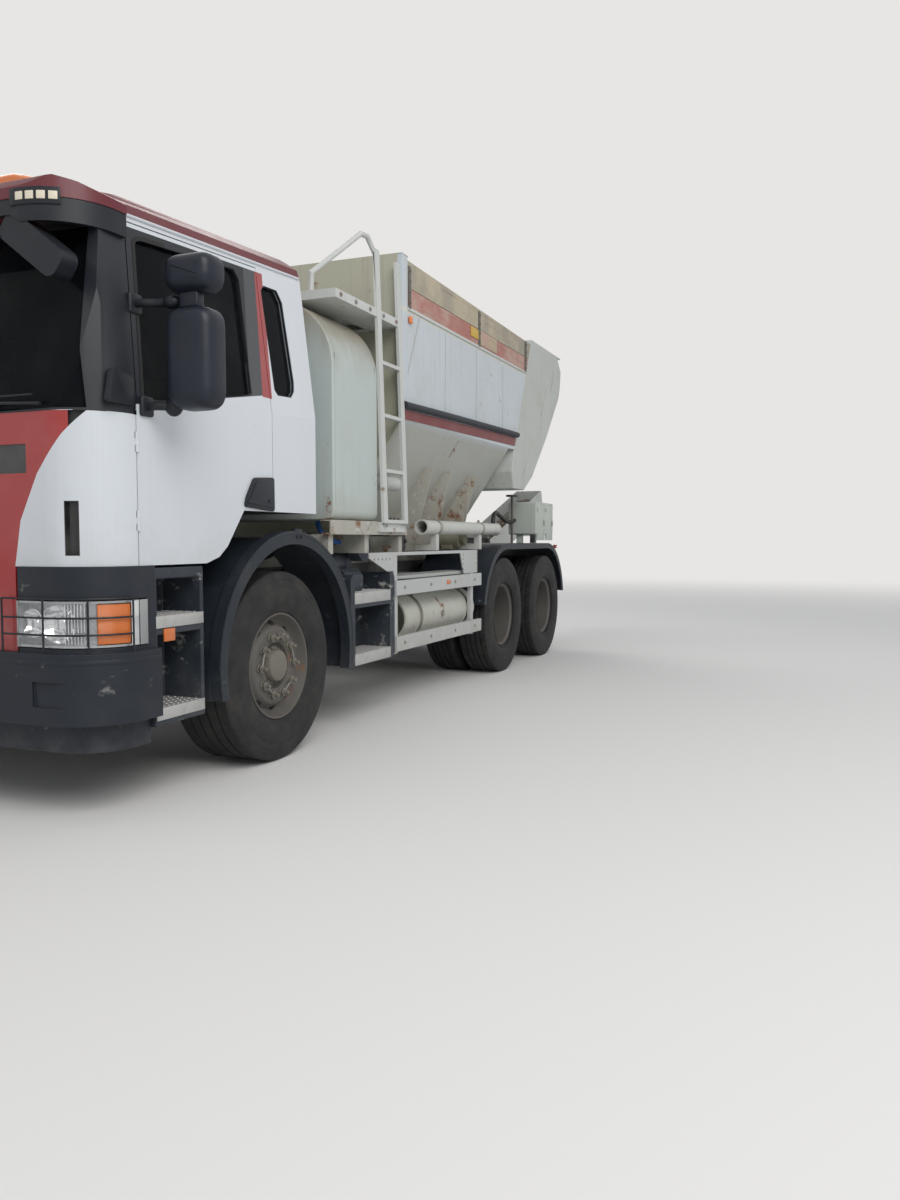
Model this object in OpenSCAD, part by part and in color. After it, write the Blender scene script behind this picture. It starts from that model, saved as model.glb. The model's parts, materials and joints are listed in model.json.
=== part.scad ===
// Volumetric concrete mixer truck: a 6x4 cab-over lorry that carries a water tank, an aggregate
// hopper over a belt, a cement bin and a slewing mixing auger at the tail.
// X runs from the front bumper to the auger, the left side is at -Y, and the wheels stand on Z 0.
// Places along X are measured from the front axle, and placed() then centres the truck.

/* [Chassis] */
// Front axle to first rear axle
wheelbase = 3900; // [3800:10:4100]
// Distance between the two rear axles
bogie_spread = 1350; // [1330:10:1400]
// Width over the cab and the tyres
body_w = 2500; // [2480:10:2550]
// Front axle to the face of the bumper
front_overhang = 1460; // [1440:10:1500]
// Second rear axle to the end of the frame
rear_overhang = 550; // [520:10:600]
// Height of the top of the frame rails
frame_top = 1050; // [1030:10:1060]
// Depth of a frame rail
rail_h = 270; // [240:10:300]
// Width over the two frame rails
frame_w = 770; // [750:10:790]
// Width of a rail's flange
flange_w = 85; // [70:5:90]
// Thickness of the rail steel
rail_t = 9; // [7:1:12]

/* [Wheels] */
// Outside diameter of a front tyre
front_tyre_d = 1072; // [1050:2:1080]
// Width of a front tyre
front_tyre_w = 385; // [365:5:395]
// Outside diameter of a rear tyre
rear_tyre_d = 1076; // [1050:2:1080]
// Width of a rear tyre
rear_tyre_w = 300; // [290:5:312]
// Distance between the middles of twin tyres
twin_pitch = 345; // [335:5:360]
// Diameter of the rims where the tyres seat
rim_d = 572; // [560:2:590]
// Distance of a kingpin from the truck's middle
kingpin_y = 930; // [915:5:940]
// Radius of a kingpin
kingpin_r = 24; // [20:1:28]
// Radius of the axle stub inside a hub
spindle_r = 45; // [40:1:50]
// Gap between a turning shaft and its bore
run_gap = 0.05; // [0.02:0.01:0.1]

/* [Cab] */
// Length of the cab
cab_len = 1830; // [1810:10:1850]
// How far the bumper stands in front of the cab
bumper_step = 40; // [30:5:60]
// Height of the cab's lower edge at the front
cab_low_z = 1130; // [1120:5:1140]
// Height of the cab's lower edge over the wheel
cab_back_z = 1400; // [1390:5:1410]
// Height of the waist line at the front
waist_z = 1850; // [1830:5:1870]
// Height of the roof rail at the front
rail_z = 2670; // [2650:5:2690]
// Slope of the roof rail, rising to the rear
roof_rise = 3.4; // [3:0.1:3.8]
// How far each cab side leans in at the roof rail
side_lean = 100; // [90:2:110]
// Thickness of the cab walls and doors
cab_wall = 60; // [50:2:70]
// Radius of the cab's front corners
corner_r = 270; // [250:5:275]
// Gap round each door
door_gap = 6; // [5:0.5:8]
// Thickness of the window glass
glass_t = 6; // [5:1:8]

/* [Mixer body] */
// Gap between the cab and the water tank
tank_gap = 200; // [190:5:210]
// Length of the water tank along the truck
tank_len = 610; // [580:10:640]
// Width of the tank and of the hopper
mixer_w = 2440; // [2420:10:2460]
// Height of the water tank's foot
tank_low_z = 1370; // [1360:5:1380]
// Height of the water tank's top
tank_top_z = 2738; // [2720:6:2750]
// Radius of the tank's shoulders
shoulder_r = 420; // [380:10:460]
// Gap between the water tank and the hopper
hopper_gap = 390; // [370:10:410]
// Length of the hopper at its lower edge
hopper_len = 2400; // [2300:10:2450]
// Height of the hopper's steel rim
hopper_rim_z = 2900; // [2860:10:2940]
// Height where the hopper's sides start to slope in
slope_z = 2115; // [2080:5:2140]
// Half width of the hopper at the foot of its slopes
slope_foot_y = 690; // [660:5:700]
// Height of the foot of the slopes
slope_foot_z = 1330; // [1320:5:1340]
// Thickness of the hopper's walls
hopper_wall = 10; // [8:1:14]
// Height of the wooden boards on the hopper
board_h = 310; // [280:10:320]
// Thickness of the wooden boards
board_t = 26; // [20:1:30]
// Length of the cement bin at its top
bin_top_len = 1130; // [1080:10:1160]
// Height of the cement bin's top
bin_top_z = 3260; // [3220:10:3280]
// Height of the cement bin's foot
bin_foot_z = 1740; // [1720:5:1760]
// Length of the cement bin at its foot
bin_foot_len = 330; // [300:10:360]
// Half width of the conveyor belt
belt_y = 310; // [290:5:320]

/* [Mixing auger] */
// Frame end to the auger's slewing axis
slew_reach = 350; // [340:5:380]
// Height of the pin on which the auger tilts
tilt_z = 940; // [935:5:945]
// Length of the trough behind the tilt pin
trough_len = 2600; // [2400:50:2700]
// Angle of the auger above level, as parked
auger_angle = 18; // [16:1:20]
// Inside radius of the trough
trough_r = 180; // [170:5:185]
// Thickness of the trough's wall
trough_t = 8; // [6:1:10]
// Radius of the mixing screw
screw_r = 160; // [150:5:165]
// Distance from the tilt pin to the lift lugs
lug_reach = 1150; // [1100:10:1200]

/* [Hidden] */
$fn = 48;

// Places along X from the front axle
bumper_x = -front_overhang;
cab_x = bumper_x + bumper_step;
cab_back = cab_x + cab_len;
mid_axle = wheelbase;
rear_axle = wheelbase + bogie_spread;
frame_end = rear_axle + rear_overhang;
frame_start = bumper_x + 200;
tank_x = cab_back + tank_gap;
tank_end = tank_x + tank_len;
hopper_x = tank_end + hopper_gap;
hopper_end = hopper_x + hopper_len;
slew_x = frame_end + slew_reach;

// Heights and half widths
front_axle_z = front_tyre_d / 2;
rear_axle_z = rear_tyre_d / 2;
half_w = body_w / 2;
half_mixer = mixer_w / 2;
front_wheel_y = half_w - 15 - front_tyre_w / 2;
rear_wheel_y = half_w - 15 - rear_tyre_w / 2;
rail_y = frame_w / 2;
frame_low = frame_top - rail_h;
beam_h = 150;
bearer_z = frame_top + beam_h;
seat_gap = 0.3; // Between pieces that rest on each other

// Lift linkage, seen from the tilt pin: where the cylinder's pin and the trough's lugs are
anchor_x = 260;
anchor_z = -340;
lug_drop = 250;
lug_x = lug_reach * cos(auger_angle) + lug_drop * sin(auger_angle);
lug_z = lug_reach * sin(auger_angle) - lug_drop * cos(auger_angle);
lift_len = norm([lug_x - anchor_x, lug_z - anchor_z]);
lift_angle = atan2(lug_z - anchor_z, lug_x - anchor_x);
lift_pin_r = 15;
lug_hole_r = 32;
barrel_r = 45;
rod_r = 25;
trough_tail = 180;
trough_rim = 215;

// The truck's ends, and the move that puts its middle at X 0
spout_inset = 52;
spout_drop = 190;
truck_back = slew_x + (trough_len - spout_inset) * cos(auger_angle) + (trough_r + spout_drop) * sin(auger_angle);
truck_mid = (bumper_x + truck_back) / 2;

module placed() translate([-truck_mid, 0, 0]) children();

module both_sides() {
    children();
    mirror([0, 1, 0]) children();
}

// A block given by its lowest corner and its highest corner
module block(low, high) translate(low) cube(high - low);

// An outline in X and Z, as thick as y1 - y0
module across(y0, y1) translate([0, y1, 0]) rotate([90, 0, 0]) linear_extrude(y1 - y0) children();

// An outline in Y and Z, as long as x1 - x0
module along(x0, x1) translate([x0, 0, 0]) rotate([90, 0, 90]) linear_extrude(x1 - x0) children();

// A cylinder along Y or along X, from one end to the other
module rod_y(r, x, y0, y1, z) translate([x, y1, z]) rotate([90, 0, 0]) cylinder(r = r, h = y1 - y0);
module rod_x(r, x0, x1, y, z) translate([x0, y, z]) rotate([0, 90, 0]) cylinder(r = r, h = x1 - x0);

// A round bar between two points
module bar(a, b, r) {
    d = b - a;
    translate(a) rotate([0, acos(d[2] / norm(d)), atan2(d[1], d[0])]) cylinder(r = r, h = norm(d), $fn = 24);
}

// A rectangle with round corners, from (x0, y0) to (x1, y1)
module round_rect(x0, y0, x1, y1, r) {
    translate([x0 + r, y0]) square([x1 - x0 - 2 * r, y1 - y0]);
    translate([x0, y0 + r]) square([x1 - x0, y1 - y0 - 2 * r]);
    for (x = [x0 + r, x1 - r], y = [y0 + r, y1 - r]) translate([x, y]) circle(r);
}

// A half outline of [y, z] points, closed by its mirror image
module mirrored_outline(half) {
    n = len(half);
    polygon(concat(half, [for (i = [n - 1:-1:0]) [-half[i][0], half[i][1]]]));
}

// Points of an arc: centre, radius and two angles
function arc(c, r, a0, a1, n = 8) =
    [for (i = [0:n]) c + r * [cos(a0 + (a1 - a0) * i / n), sin(a0 + (a1 - a0) * i / n)]];

// Chassis

web_y = rail_y - rail_t - seat_gap;
module chassis_frame() color("#3c3d40") placed() {
    both_sides() along(frame_start, frame_end) polygon([
        [rail_y, frame_low], [rail_y, frame_top], [rail_y - flange_w, frame_top],
        [rail_y - flange_w, frame_top - rail_t], [rail_y - rail_t, frame_top - rail_t],
        [rail_y - rail_t, frame_low + rail_t], [rail_y - flange_w, frame_low + rail_t],
        [rail_y - flange_w, frame_low]]);
    // Cross-members between the rails, above the drive shafts
    for (x = [1250, 2500, mid_axle - 480, mid_axle + bogie_spread / 2 - 60])
        block([x, -web_y, frame_top - 120], [x + 120, web_y, frame_top - 60]);
    for (x = [frame_start, frame_end - 130])
        block([x, -web_y, frame_low + rail_t + seat_gap], [x + 120, web_y, frame_top - 60]);
    tow_jaw();
    cab_mounts();
}

// Posts that carry the cab
module cab_mounts() both_sides() {
    block([frame_start + 20, rail_y - 60, frame_top + seat_gap], [frame_start + 120, rail_y, cab_low_z - seat_gap]);
    block([cab_back - 120, rail_y - 80, frame_top + seat_gap], [cab_back - 40, rail_y, cab_back_z - seat_gap]);
    block([cab_back - 120, rail_y - 80, cab_back_z - 60], [cab_back - 40, tunnel_y + 130, cab_back_z - seat_gap]);
}

// Jaw for the towing pin, on the front cross-member
tow_hole_r = 20;
tow_x = bumper_x + 60;
tow_z = 610;
module tow_jaw() {
    difference() {
        union() {
            for (z = [tow_z - 55, tow_z + 30])
                block([tow_x - 45, -70, z], [frame_start + 20, 70, z + 25]);
            block([frame_start - 60, -70, tow_z - 55], [frame_start + 20, 70, frame_low + 60]);
        }
        translate([tow_x, 0, tow_z - 60]) cylinder(r = tow_hole_r, h = 120);
    }
}

// Bracket and bearing that carry the slewing auger at the frame's end
post_r = 60;
post_low = 440;
post_high = 640;
module slew_bracket() color("#3c3d40") placed() {
    difference() {
        union() {
            translate([slew_x, 0, post_low]) cylinder(r = post_r + 30, h = post_high - post_low);
            block([frame_end - 120, -110, post_low], [slew_x, 110, post_high - 20]);
            both_sides() across(110, 140) polygon([
                [frame_end - 260, frame_low + 60], [frame_end - 131, frame_low + 60],
                [frame_end - 131, frame_low + rail_t], [frame_end - 5, frame_low + rail_t],
                [frame_end + 30, post_high - 20],
                [slew_x - 60, post_high - 20], [slew_x - 60, post_low], [frame_end - 120, post_low]]);
            block([frame_end - 260, -web_y, frame_low + rail_t + seat_gap], [frame_end - 200, web_y, frame_low + 80]);
        }
        translate([slew_x, 0, post_low - 1]) cylinder(r = post_r + run_gap, h = post_high - post_low + 2);
    }
}

engine_y = 295;
module engine_block() color("#6a6a66") placed() {
    along(-720, 420) mirrored_outline([[0, 640], [200, 640], [engine_y, 860], [engine_y, 1440], [0, 1440]]);
    both_sides() block([-300, engine_y - 1, 900], [-200, rail_y - rail_t - seat_gap, 980]);
}

module drive_line() color("#55534e") placed() {
    // Gearbox, then the shafts to and between the rear axles
    rod_x(190, 420, 900, 0, 900);
    rod_x(140, 900, 1180, 0, 880);
    bar([1180, 0, 870], [mid_axle - diff_front - 7, 0, rear_axle_z + 40], 55);
    bar([mid_axle + diff_back + seat_gap, 0, rear_axle_z + 40], [rear_axle - diff_front - seat_gap, 0, rear_axle_z + 40], 50);
    block([460, -rail_y + rail_t, 960], [520, rail_y - rail_t, 1010]);
}

// One spring leaf: a strip t thick round [0, r + z_low], at distance r from it and hl long each way
function leaf(hl, r, z_low, t) = let (a = asin(hl / r), c = [0, z_low])
    concat(arc(c, r, -90 - a, -90 + a, 10), arc(c, r - t, -90 + a, -90 - a, 10));

// A pack of n leaves seen from the side: its lowest point is at [0, 0] and the top leaf is the longest
module leaf_pack(n, hl, step, r, t) for (i = [0:n - 1])
    polygon(leaf(hl - step * (n - 1 - i), r - i * t, r, t + 0.5));

leaf_w = 80;
front_spring_y = rail_y - leaf_w / 2;
module front_axle() color("#4a4a4a") placed() {
    seat_y = front_spring_y;
    difference() {
        union() {
            // Forged beam, dropped in its middle
            along(-45, 45) mirrored_outline([
                [0, front_axle_z - 130], [seat_y, front_axle_z - 130], [kingpin_y - 60, front_axle_z - 50],
                [kingpin_y, front_axle_z - 50], [kingpin_y, front_axle_z + 50],
                [kingpin_y - 110, front_axle_z + 40], [seat_y + 90, front_axle_z - 30], [0, front_axle_z - 30]]);
            both_sides() translate([0, kingpin_y, front_axle_z - 80]) cylinder(r = 58, h = 160);
        }
        both_sides() translate([0, kingpin_y, front_axle_z - 90]) cylinder(r = kingpin_r + run_gap, h = 180);
    }
    both_sides() {
        // Leaf springs and their hangers
        translate([0, 0, front_axle_z - 30]) across(front_spring_y - leaf_w / 2, front_spring_y + leaf_w / 2)
            leaf_pack(4, 740, 60, 2900, 14);
        for (x = [-740, 740])
            block([x - 50, front_spring_y - 30, front_axle_z + 115], [x + 50, front_spring_y + 30, frame_low]);
    }
}

diff_front = 300;
diff_back = 260;
module rear_axles() color("#4a4a4a") placed() {
    for (x = [mid_axle, rear_axle]) {
        rod_y(75, x, -rear_wheel_y + twin_pitch + 20, rear_wheel_y - twin_pitch - 20, rear_axle_z);
        rod_y(spindle_r, x, -rear_wheel_y - twin_hub_top + 6, rear_wheel_y + twin_hub_top - 6, rear_axle_z);
        translate([x, 0, rear_axle_z]) sphere(r = 225);
        rod_x(120, x - diff_front, x + diff_back, 0, rear_axle_z + 40);
    }
    // Rocking spring packs on the trunnion between the two axles
    mid = (mid_axle + rear_axle) / 2;
    both_sides() {
        translate([mid, 0, rear_axle_z + 230]) mirror([0, 0, 1]) across(rail_y - 10, rail_y + 90)
            leaf_pack(5, bogie_spread / 2 + 60, 60, 2500, 18);
        for (x = [mid_axle, rear_axle])
            block([x - 55, rail_y - 10, rear_axle_z + 60], [x + 55, rail_y + 90, rear_axle_z + 130]);
        rod_y(70, mid, rail_y - 20, rail_y + 110, rear_axle_z + 90);
        block([mid - 110, rail_y - 60, rear_axle_z + 60], [mid + 110, rail_y - 12, frame_low - seat_gap]);
    }
}

// Wheels, made round the Z axis with the outer side up and then turned onto their axle

// Half section of a tyre, [radius, place across the tread]
function tyre_half(d, w) = let (r = d / 2, s = rim_d / 2, h = r - s, b = w * 0.33) [
    [s, b - seat_gap], [s + 17, b - seat_gap], [s + 17, b + 8], [s + h * 0.25, w * 0.475], [s + h * 0.5, w * 0.5],
    [s + h * 0.75, w * 0.485], [r - 22, w * 0.445], [r - 4, w * 0.40]];

module tyre_ring(d, w) {
    half = tyre_half(d, w);
    n = len(half);
    rotate_extrude($fn = 72) polygon(concat(half, [for (i = [n - 1:-1:0]) [half[i][0], -half[i][1]]]));
}

// A rim barrel with its flanges, and a disc of radius disc_r at height disc_z
module rim_ring(w, disc_z, disc_r) {
    r = rim_d / 2;
    b = w * 0.33;
    side = sign(disc_z);
    // Bell between the barrel's end and a disc that lies beyond it
    if (abs(disc_z) > b + 12) rotate_extrude($fn = 72) polygon([
        [r - 9, side * (b + 8)], [r - 19, side * (b - 4)], [r - 34, side * (b - 4)],
        [disc_r - 18, disc_z - 5 - side * 7], [disc_r - 18, disc_z - 5 + side * 7], [disc_r, disc_z - 5 + side * 7]]);
    rotate_extrude($fn = 72) polygon([
        [r - seat_gap, -b], [r + 16, -b], [r + 16, -b - 12], [r - 8, -b - 12], [r - 20, -b + 6], [r - 20, b - 6],
        [r - 8, b + 12], [r + 16, b + 12], [r + 16, b], [r - seat_gap, b]]);
    translate([0, 0, disc_z - 12]) difference() {
        cylinder(r = disc_r, h = 14);
        translate([0, 0, -1]) cylinder(r = hub_r - 5, h = 16);
        for (i = [0:9]) rotate(36 * i + 18) translate([hand_hole_ring_r, 0, -1]) cylinder(r = hand_hole_r, h = 16);
    }
}

hub_r = 140;
hand_hole_ring_r = 210;
hand_hole_r = 22;
stud_ring_r = 167.5;
cap_r = 112;
// Hub drum from z0 to z1, its bore, the stud nuts on the disc face and the domed cap
module hub(z0, z1, face_z) {
    difference() {
        union() {
            translate([0, 0, z0]) cylinder(r = hub_r, h = z1 - z0);
            translate([0, 0, z1 - 1]) cylinder(r1 = cap_r, r2 = cap_r - 26, h = 56);
            for (i = [0:9]) rotate(36 * i) translate([stud_ring_r, 0, face_z - 4]) cylinder(r = 17, h = 34, $fn = 6);
        }
        translate([0, 0, z0 - 1]) cylinder(r = spindle_r + run_gap, h = z1 - z0 + 10);
    }
}

// Puts a wheel's outer side towards the left (s = -1) or the right (s = 1)
module wheel_at(x, s, y, z) translate([x, s * y, z]) rotate([-90 * s, 0, 0]) children();

module tyre_front_left() color("#2b2a29") placed()
    wheel_at(0, -1, front_wheel_y, front_axle_z) tyre_ring(front_tyre_d, front_tyre_w);
module tyre_front_right() color("#2b2a29") placed()
    wheel_at(0, 1, front_wheel_y, front_axle_z) tyre_ring(front_tyre_d, front_tyre_w);

front_disc_z = 100;
module front_rim() {
    rim_ring(front_tyre_w, front_disc_z, rim_d / 2 - 19);
    hub(-30, front_disc_z + 40, front_disc_z);
}
module rim_front_left() color("#8a857c") placed() wheel_at(0, -1, front_wheel_y, front_axle_z) front_rim();
module rim_front_right() color("#8a857c") placed() wheel_at(0, 1, front_wheel_y, front_axle_z) front_rim();

// Twin wheels: the outer rim's dish faces out, and the discs meet between the tyres
module twin_tyres() {
    tyre_ring(rear_tyre_d, rear_tyre_w);
    translate([0, 0, -twin_pitch]) tyre_ring(rear_tyre_d, rear_tyre_w);
}
twin_face = -twin_pitch / 2 + 26;
twin_hub_top = twin_face + 90;
module twin_rims() {
    rim_ring(rear_tyre_w, twin_face, rim_d / 2 - 34);
    translate([0, 0, -twin_pitch]) rim_ring(rear_tyre_w, twin_pitch + twin_face - 14, rim_d / 2 - 34);
    hub(-twin_pitch + 60, twin_hub_top, twin_face);
}
module twins_at(x, s) wheel_at(x, s, rear_wheel_y, rear_axle_z) children();

module tyres_mid_left() color("#2b2a29") placed() twins_at(mid_axle, -1) twin_tyres();
module tyres_mid_right() color("#2b2a29") placed() twins_at(mid_axle, 1) twin_tyres();
module tyres_rear_left() color("#2b2a29") placed() twins_at(rear_axle, -1) twin_tyres();
module tyres_rear_right() color("#2b2a29") placed() twins_at(rear_axle, 1) twin_tyres();
module rims_mid_left() color("#8a857c") placed() twins_at(mid_axle, -1) twin_rims();
module rims_mid_right() color("#8a857c") placed() twins_at(mid_axle, 1) twin_rims();
module rims_rear_left() color("#8a857c") placed() twins_at(rear_axle, -1) twin_rims();
module rims_rear_right() color("#8a857c") placed() twins_at(rear_axle, 1) twin_rims();

// Steering knuckle: two ears on the kingpin and the spindle that the hub turns on
module knuckle() {
    ear_z = 81;
    translate([0, kingpin_y, front_axle_z]) {
        for (s = [-1, 1]) translate([0, 0, s * (ear_z + 17) - 17]) cylinder(r = 50, h = 34);
        translate([0, 0, -ear_z - 40]) cylinder(r = kingpin_r, h = 2 * ear_z + 80);
        block([-50, 62, -ear_z - 34], [50, 78, ear_z + 34]);
        for (s = [-1, 1]) translate([0, 0, s * (ear_z + 17) - 17]) block([-50, 0, 0], [50, 70, 34]);
    }
    rod_y(spindle_r, 0, kingpin_y + 70, front_wheel_y + front_disc_z + 30, front_axle_z);
}
module knuckle_left() color("#4a4a4a") placed() mirror([0, 1, 0]) knuckle();
module knuckle_right() color("#4a4a4a") placed() knuckle();

// Cab

cab_section_low = 1000;
rail_height = 55;
crown_h = 165;
cab_half = half_w - 38;
screen_low_z = 1790;
screen_top_x = cab_x + 175;
roof_front_z = rail_z + 100;
roof_back_z = rail_z + 270;
arch_x = -660;
arch_back_x = -335;
// Cab's lower edge over the wheel, grown by g, from the front upwards
function arch_edge(g) = [[arch_x, cab_low_z - g], [arch_x + 105 + g * 0.4, cab_low_z + 30 - g * 0.9],
    [arch_x + 178 + g * 0.6, cab_low_z + 85 - g * 0.8], [arch_back_x + g * 0.4, cab_back_z - g]];

// Front view of the cab, drawn at its front face and carried back along the sloping roof rail
module cab_sides(i = 0)
    translate([cab_x - 100, 0, rail_z]) rotate([0, -roof_rise, 0]) translate([0, 0, -rail_z])
        along(-60, cab_len + 400) mirrored_outline([
            [0, cab_section_low - 300], [cab_half - i, cab_section_low - 300], [cab_half - i, waist_z],
            [cab_half - side_lean - i, rail_z],
            [cab_half - side_lean - 12 - i, rail_z + rail_height - i / 3],
            [cab_half - side_lean - 100 - i, rail_z + rail_height + 63 - i],
            [cab_half - 420 - i, rail_z + crown_h - 15 - i], [0, rail_z + crown_h - i]]);

// Side view of the cab
module cab_profile(i = 0)
    across(-half_w - 10, half_w + 10) polygon([
        [cab_x + i, cab_low_z + i], [cab_x + i, screen_low_z], [screen_top_x + i, rail_z],
        [screen_top_x + 60 + i, roof_front_z - i], [screen_top_x + 420, roof_front_z + 110 - i],
        [cab_back - 120, roof_back_z - i], [cab_back - 20 - i, roof_back_z - 60 - i],
        [cab_back - i, roof_back_z - 140], [cab_back - i, cab_back_z + i],
        for (j = [3:-1:0]) arch_edge(-i)[j]]);

// Plan of the cab, with round front corners
module cab_plan(i = 0) translate([0, 0, 900]) linear_extrude(2400) {
    r = corner_r - i;
    w = cab_half - i;
    translate([cab_x + i, -w + r]) square([r + 1, 2 * (w - r)]);
    translate([cab_x + i + r, -w]) square([cab_len - 2 * i - r, 2 * w]);
    for (s = [-1, 1]) translate([cab_x + i + r, s * (w - r)]) circle(r);
}

module cab_solid(i = 0) intersection() {
    cab_sides(i);
    cab_profile(i);
    cab_plan(i);
}

// All that lies above the roof rail
module above_rail(up = 0)
    translate([cab_x - 100, 0, rail_z + up]) rotate([0, -roof_rise, 0])
        translate([-300, -half_w - 50, 0]) cube([cab_len + 900, body_w + 100, 900]);

door_x = cab_x + corner_r;
door_len = 1090;
door_back = door_x + door_len;
// Height of the roof rail above a place along X
function rail_at(x) = rail_z + (x - cab_x + 100) * tan(roof_rise);

// Outline of a door, grown by g all round, as [x, z]
function door_outline(g) = [
    [door_x - g, cab_low_z - g], each arch_edge(g),
    [door_back + g, cab_back_z - g], [door_back + g, rail_at(door_back) - 26 + g],
    [door_x + 62 - g, rail_at(door_x) - 26 + g], [door_x - g, waist_z - 60]];

// Outline of a door window
function door_window(g) = [
    [door_x + 50 - g, waist_z + 30 - g], [door_x + 160, waist_z + 28 - g], [door_back - 240, waist_z + 150 - g],
    [door_back - 170 + g, waist_z + 170], [door_back - 170 + g, rail_at(door_back) - 130],
    [door_back - 210, rail_at(door_back) - 85 + g], [door_x + 150, rail_at(door_x) - 80 + g],
    [door_x + 110 - g, rail_at(door_x) - 100]];

// Outline of the window behind each door
quarter_x = door_back + 20;
function quarter_window(g) = [
    [quarter_x + 35 - g, waist_z + 225], [quarter_x + 65, waist_z + 198 - g], [quarter_x + 205, waist_z + 205 - g],
    [quarter_x + 245 + g, waist_z + 245], [quarter_x + 255 + g, waist_z + 300],
    [quarter_x + 225 + g, rail_at(quarter_x) - 160], [quarter_x + 180, rail_at(quarter_x) - 100 + g],
    [quarter_x + 45, rail_at(quarter_x) - 105 + g], [quarter_x + 12 - g, rail_at(quarter_x) - 140]];

// Outline of the windscreen, as half points [y, z]
screen_half = [[0, screen_low_z + 10], [cab_half - 92, screen_low_z + 20], [cab_half - 145, rail_z - 60], [0, rail_z - 40]];

// Outline of the red front panel, as half points [y, z]
panel_low_z = 755;
panel_half = [[0, panel_low_z], [760, panel_low_z], [762, cab_low_z], [800, cab_low_z + 200],
    [900, cab_low_z + 400], [1030, screen_low_z - 90], [1120, screen_low_z + 8], [0, screen_low_z + 8]];

skin_t = 26;

// Door hinges: barrels of the door above and below one of the cab, on a pin
hinge_z = [cab_low_z + 200, waist_z - 170];
hinge_r = 9;
hinge_h = 30;
module hinge_place() for (z = hinge_z) translate([door_x, -cab_half, z]) children();
module hinge_of_door() hinge_place() {
    for (k = [-1.5, 0.5]) translate([0, 0, k * hinge_h]) cylinder(r = hinge_r, h = hinge_h - seat_gap * (1 - sign(k)) / 2);
    translate([0, 0, -hinge_h]) cylinder(r = hinge_r / 2, h = 2 * hinge_h);
}
module hinge_of_cab() both_sides() hinge_place() difference() {
    translate([0, 0, -hinge_h / 2 + seat_gap]) cylinder(r = hinge_r, h = hinge_h - 2 * seat_gap);
    translate([0, 0, -hinge_h]) cylinder(r = hinge_r / 2 + run_gap, h = 2 * hinge_h);
}
// The lower front of the cab, which carries its outer skin as separate panels
module front_zone() block([cab_x - 50, -half_w - 50, cab_low_z - 400], [door_x - door_gap, half_w + 50, screen_low_z + 8]);

tunnel_y = 430;
module cab_shell() color("#e8e9ea") placed() difference() {
    union() {
        difference() {
            cab_solid();
            front_zone();
            above_rail();
            cab_solid(cab_wall);
        }
        difference() {
            intersection() {
                cab_solid(skin_t);
                front_zone();
            }
            cab_solid(cab_wall);
        }
        intersection() {
            cab_solid(skin_t);
            block([-1150, -tunnel_y, cab_low_z], [cab_back - 5, tunnel_y, 1540]);
        }
    }
    block([-1110, -tunnel_y + 30, cab_low_z - 50], [cab_back + 5, tunnel_y - 30, 1510]);
    both_sides() {
        difference() {
            across(-half_w - 50, -600) polygon(door_outline(door_gap));
            cab_sides(cab_wall + 5);
        }
        across(-half_w - 50, -half_w + 260) polygon(quarter_window(0));
    }
    along(cab_x - 50, cab_x + 420) mirrored_outline(screen_half);
}

// Plan of the sun visor and of the hood over it, drawn in by i
module visor_plan(i) {
    r = 290 - i;
    w = cab_half - side_lean + 38 - i;
    front = bumper_x + 3 + i;
    translate([front, -w + r]) square([r + 1, 2 * (w - r)]);
    translate([front + r, -w]) square([500, 2 * w]);
    for (s = [-1, 1]) translate([front + r, s * (w - r)]) circle(r);
}

visor_z = 2585;
hood_z = rail_z + 15;
hood_end_x = door_x + 40;
module hood() intersection() {
    translate([0, 0, hood_z]) linear_extrude(300) visor_plan(0);
    across(-half_w, half_w) polygon([
        [bumper_x, hood_z], [bumper_x, hood_z + 42], [bumper_x + 35, hood_z + 84], [bumper_x + 110, hood_z + 112],
        [hood_end_x, hood_z + 138], [hood_end_x, hood_z]]);
    along(bumper_x, 0) mirrored_outline([[0, hood_z], [cab_half, hood_z], [cab_half - 70, hood_z + 45],
        [cab_half - 120, hood_z + 72], [cab_half - 240, hood_z + 100], [cab_half - 480, hood_z + 124], [0, hood_z + 138]]);
}
module cab_roof() color("#6e1a20") placed() difference() {
    union() {
        intersection() {
            cab_solid();
            above_rail();
        }
        difference() {
            hood();
            difference() {
                cab_solid(-seat_gap);
                above_rail();
            }
        }
    }
    cab_solid(cab_wall);
}

glass_depth = 24;
// A pane of glass that follows the cab's sides or front, inside an outline
module side_pane() difference() {
    intersection() {
        children();
        cab_sides(glass_depth);
    }
    cab_sides(glass_depth + glass_t);
}

module cab_glass() color("#5d686e") placed() {
    both_sides() side_pane() across(-half_w - 50, -half_w + 260) polygon(quarter_window(0));
    difference() {
        intersection() {
            cab_solid(glass_depth);
            along(cab_x - 50, cab_x + 420) mirrored_outline(screen_half);
        }
        cab_solid(glass_depth + glass_t);
    }
}

module door_panel() {
    difference() {
        intersection() {
            cab_solid();
            across(-half_w - 50, 0) polygon(door_outline(0));
        }
        cab_sides(cab_wall);
        across(-half_w - 50, 0) polygon(door_window(0));
        hinge_place() translate([0, 0, -hinge_h / 2]) cylinder(r = hinge_r + 5, h = hinge_h);
    }
    hinge_of_door();
}
module door_pane() side_pane() across(-half_w - 50, 0) polygon(door_window(0));

module door_left() color("#eceded") placed() door_panel();
module door_right() color("#eceded") placed() mirror([0, 1, 0]) door_panel();
module door_glass_left() color("#5d686e") placed() door_pane();
module door_glass_right() color("#5d686e") placed() mirror([0, 1, 0]) door_pane();

// Mirrors on the door's front edge: a tall housing, a wide one above it, and their arms
mirror_x = door_x + 105;
mirror_y = -half_w - 200;
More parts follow.
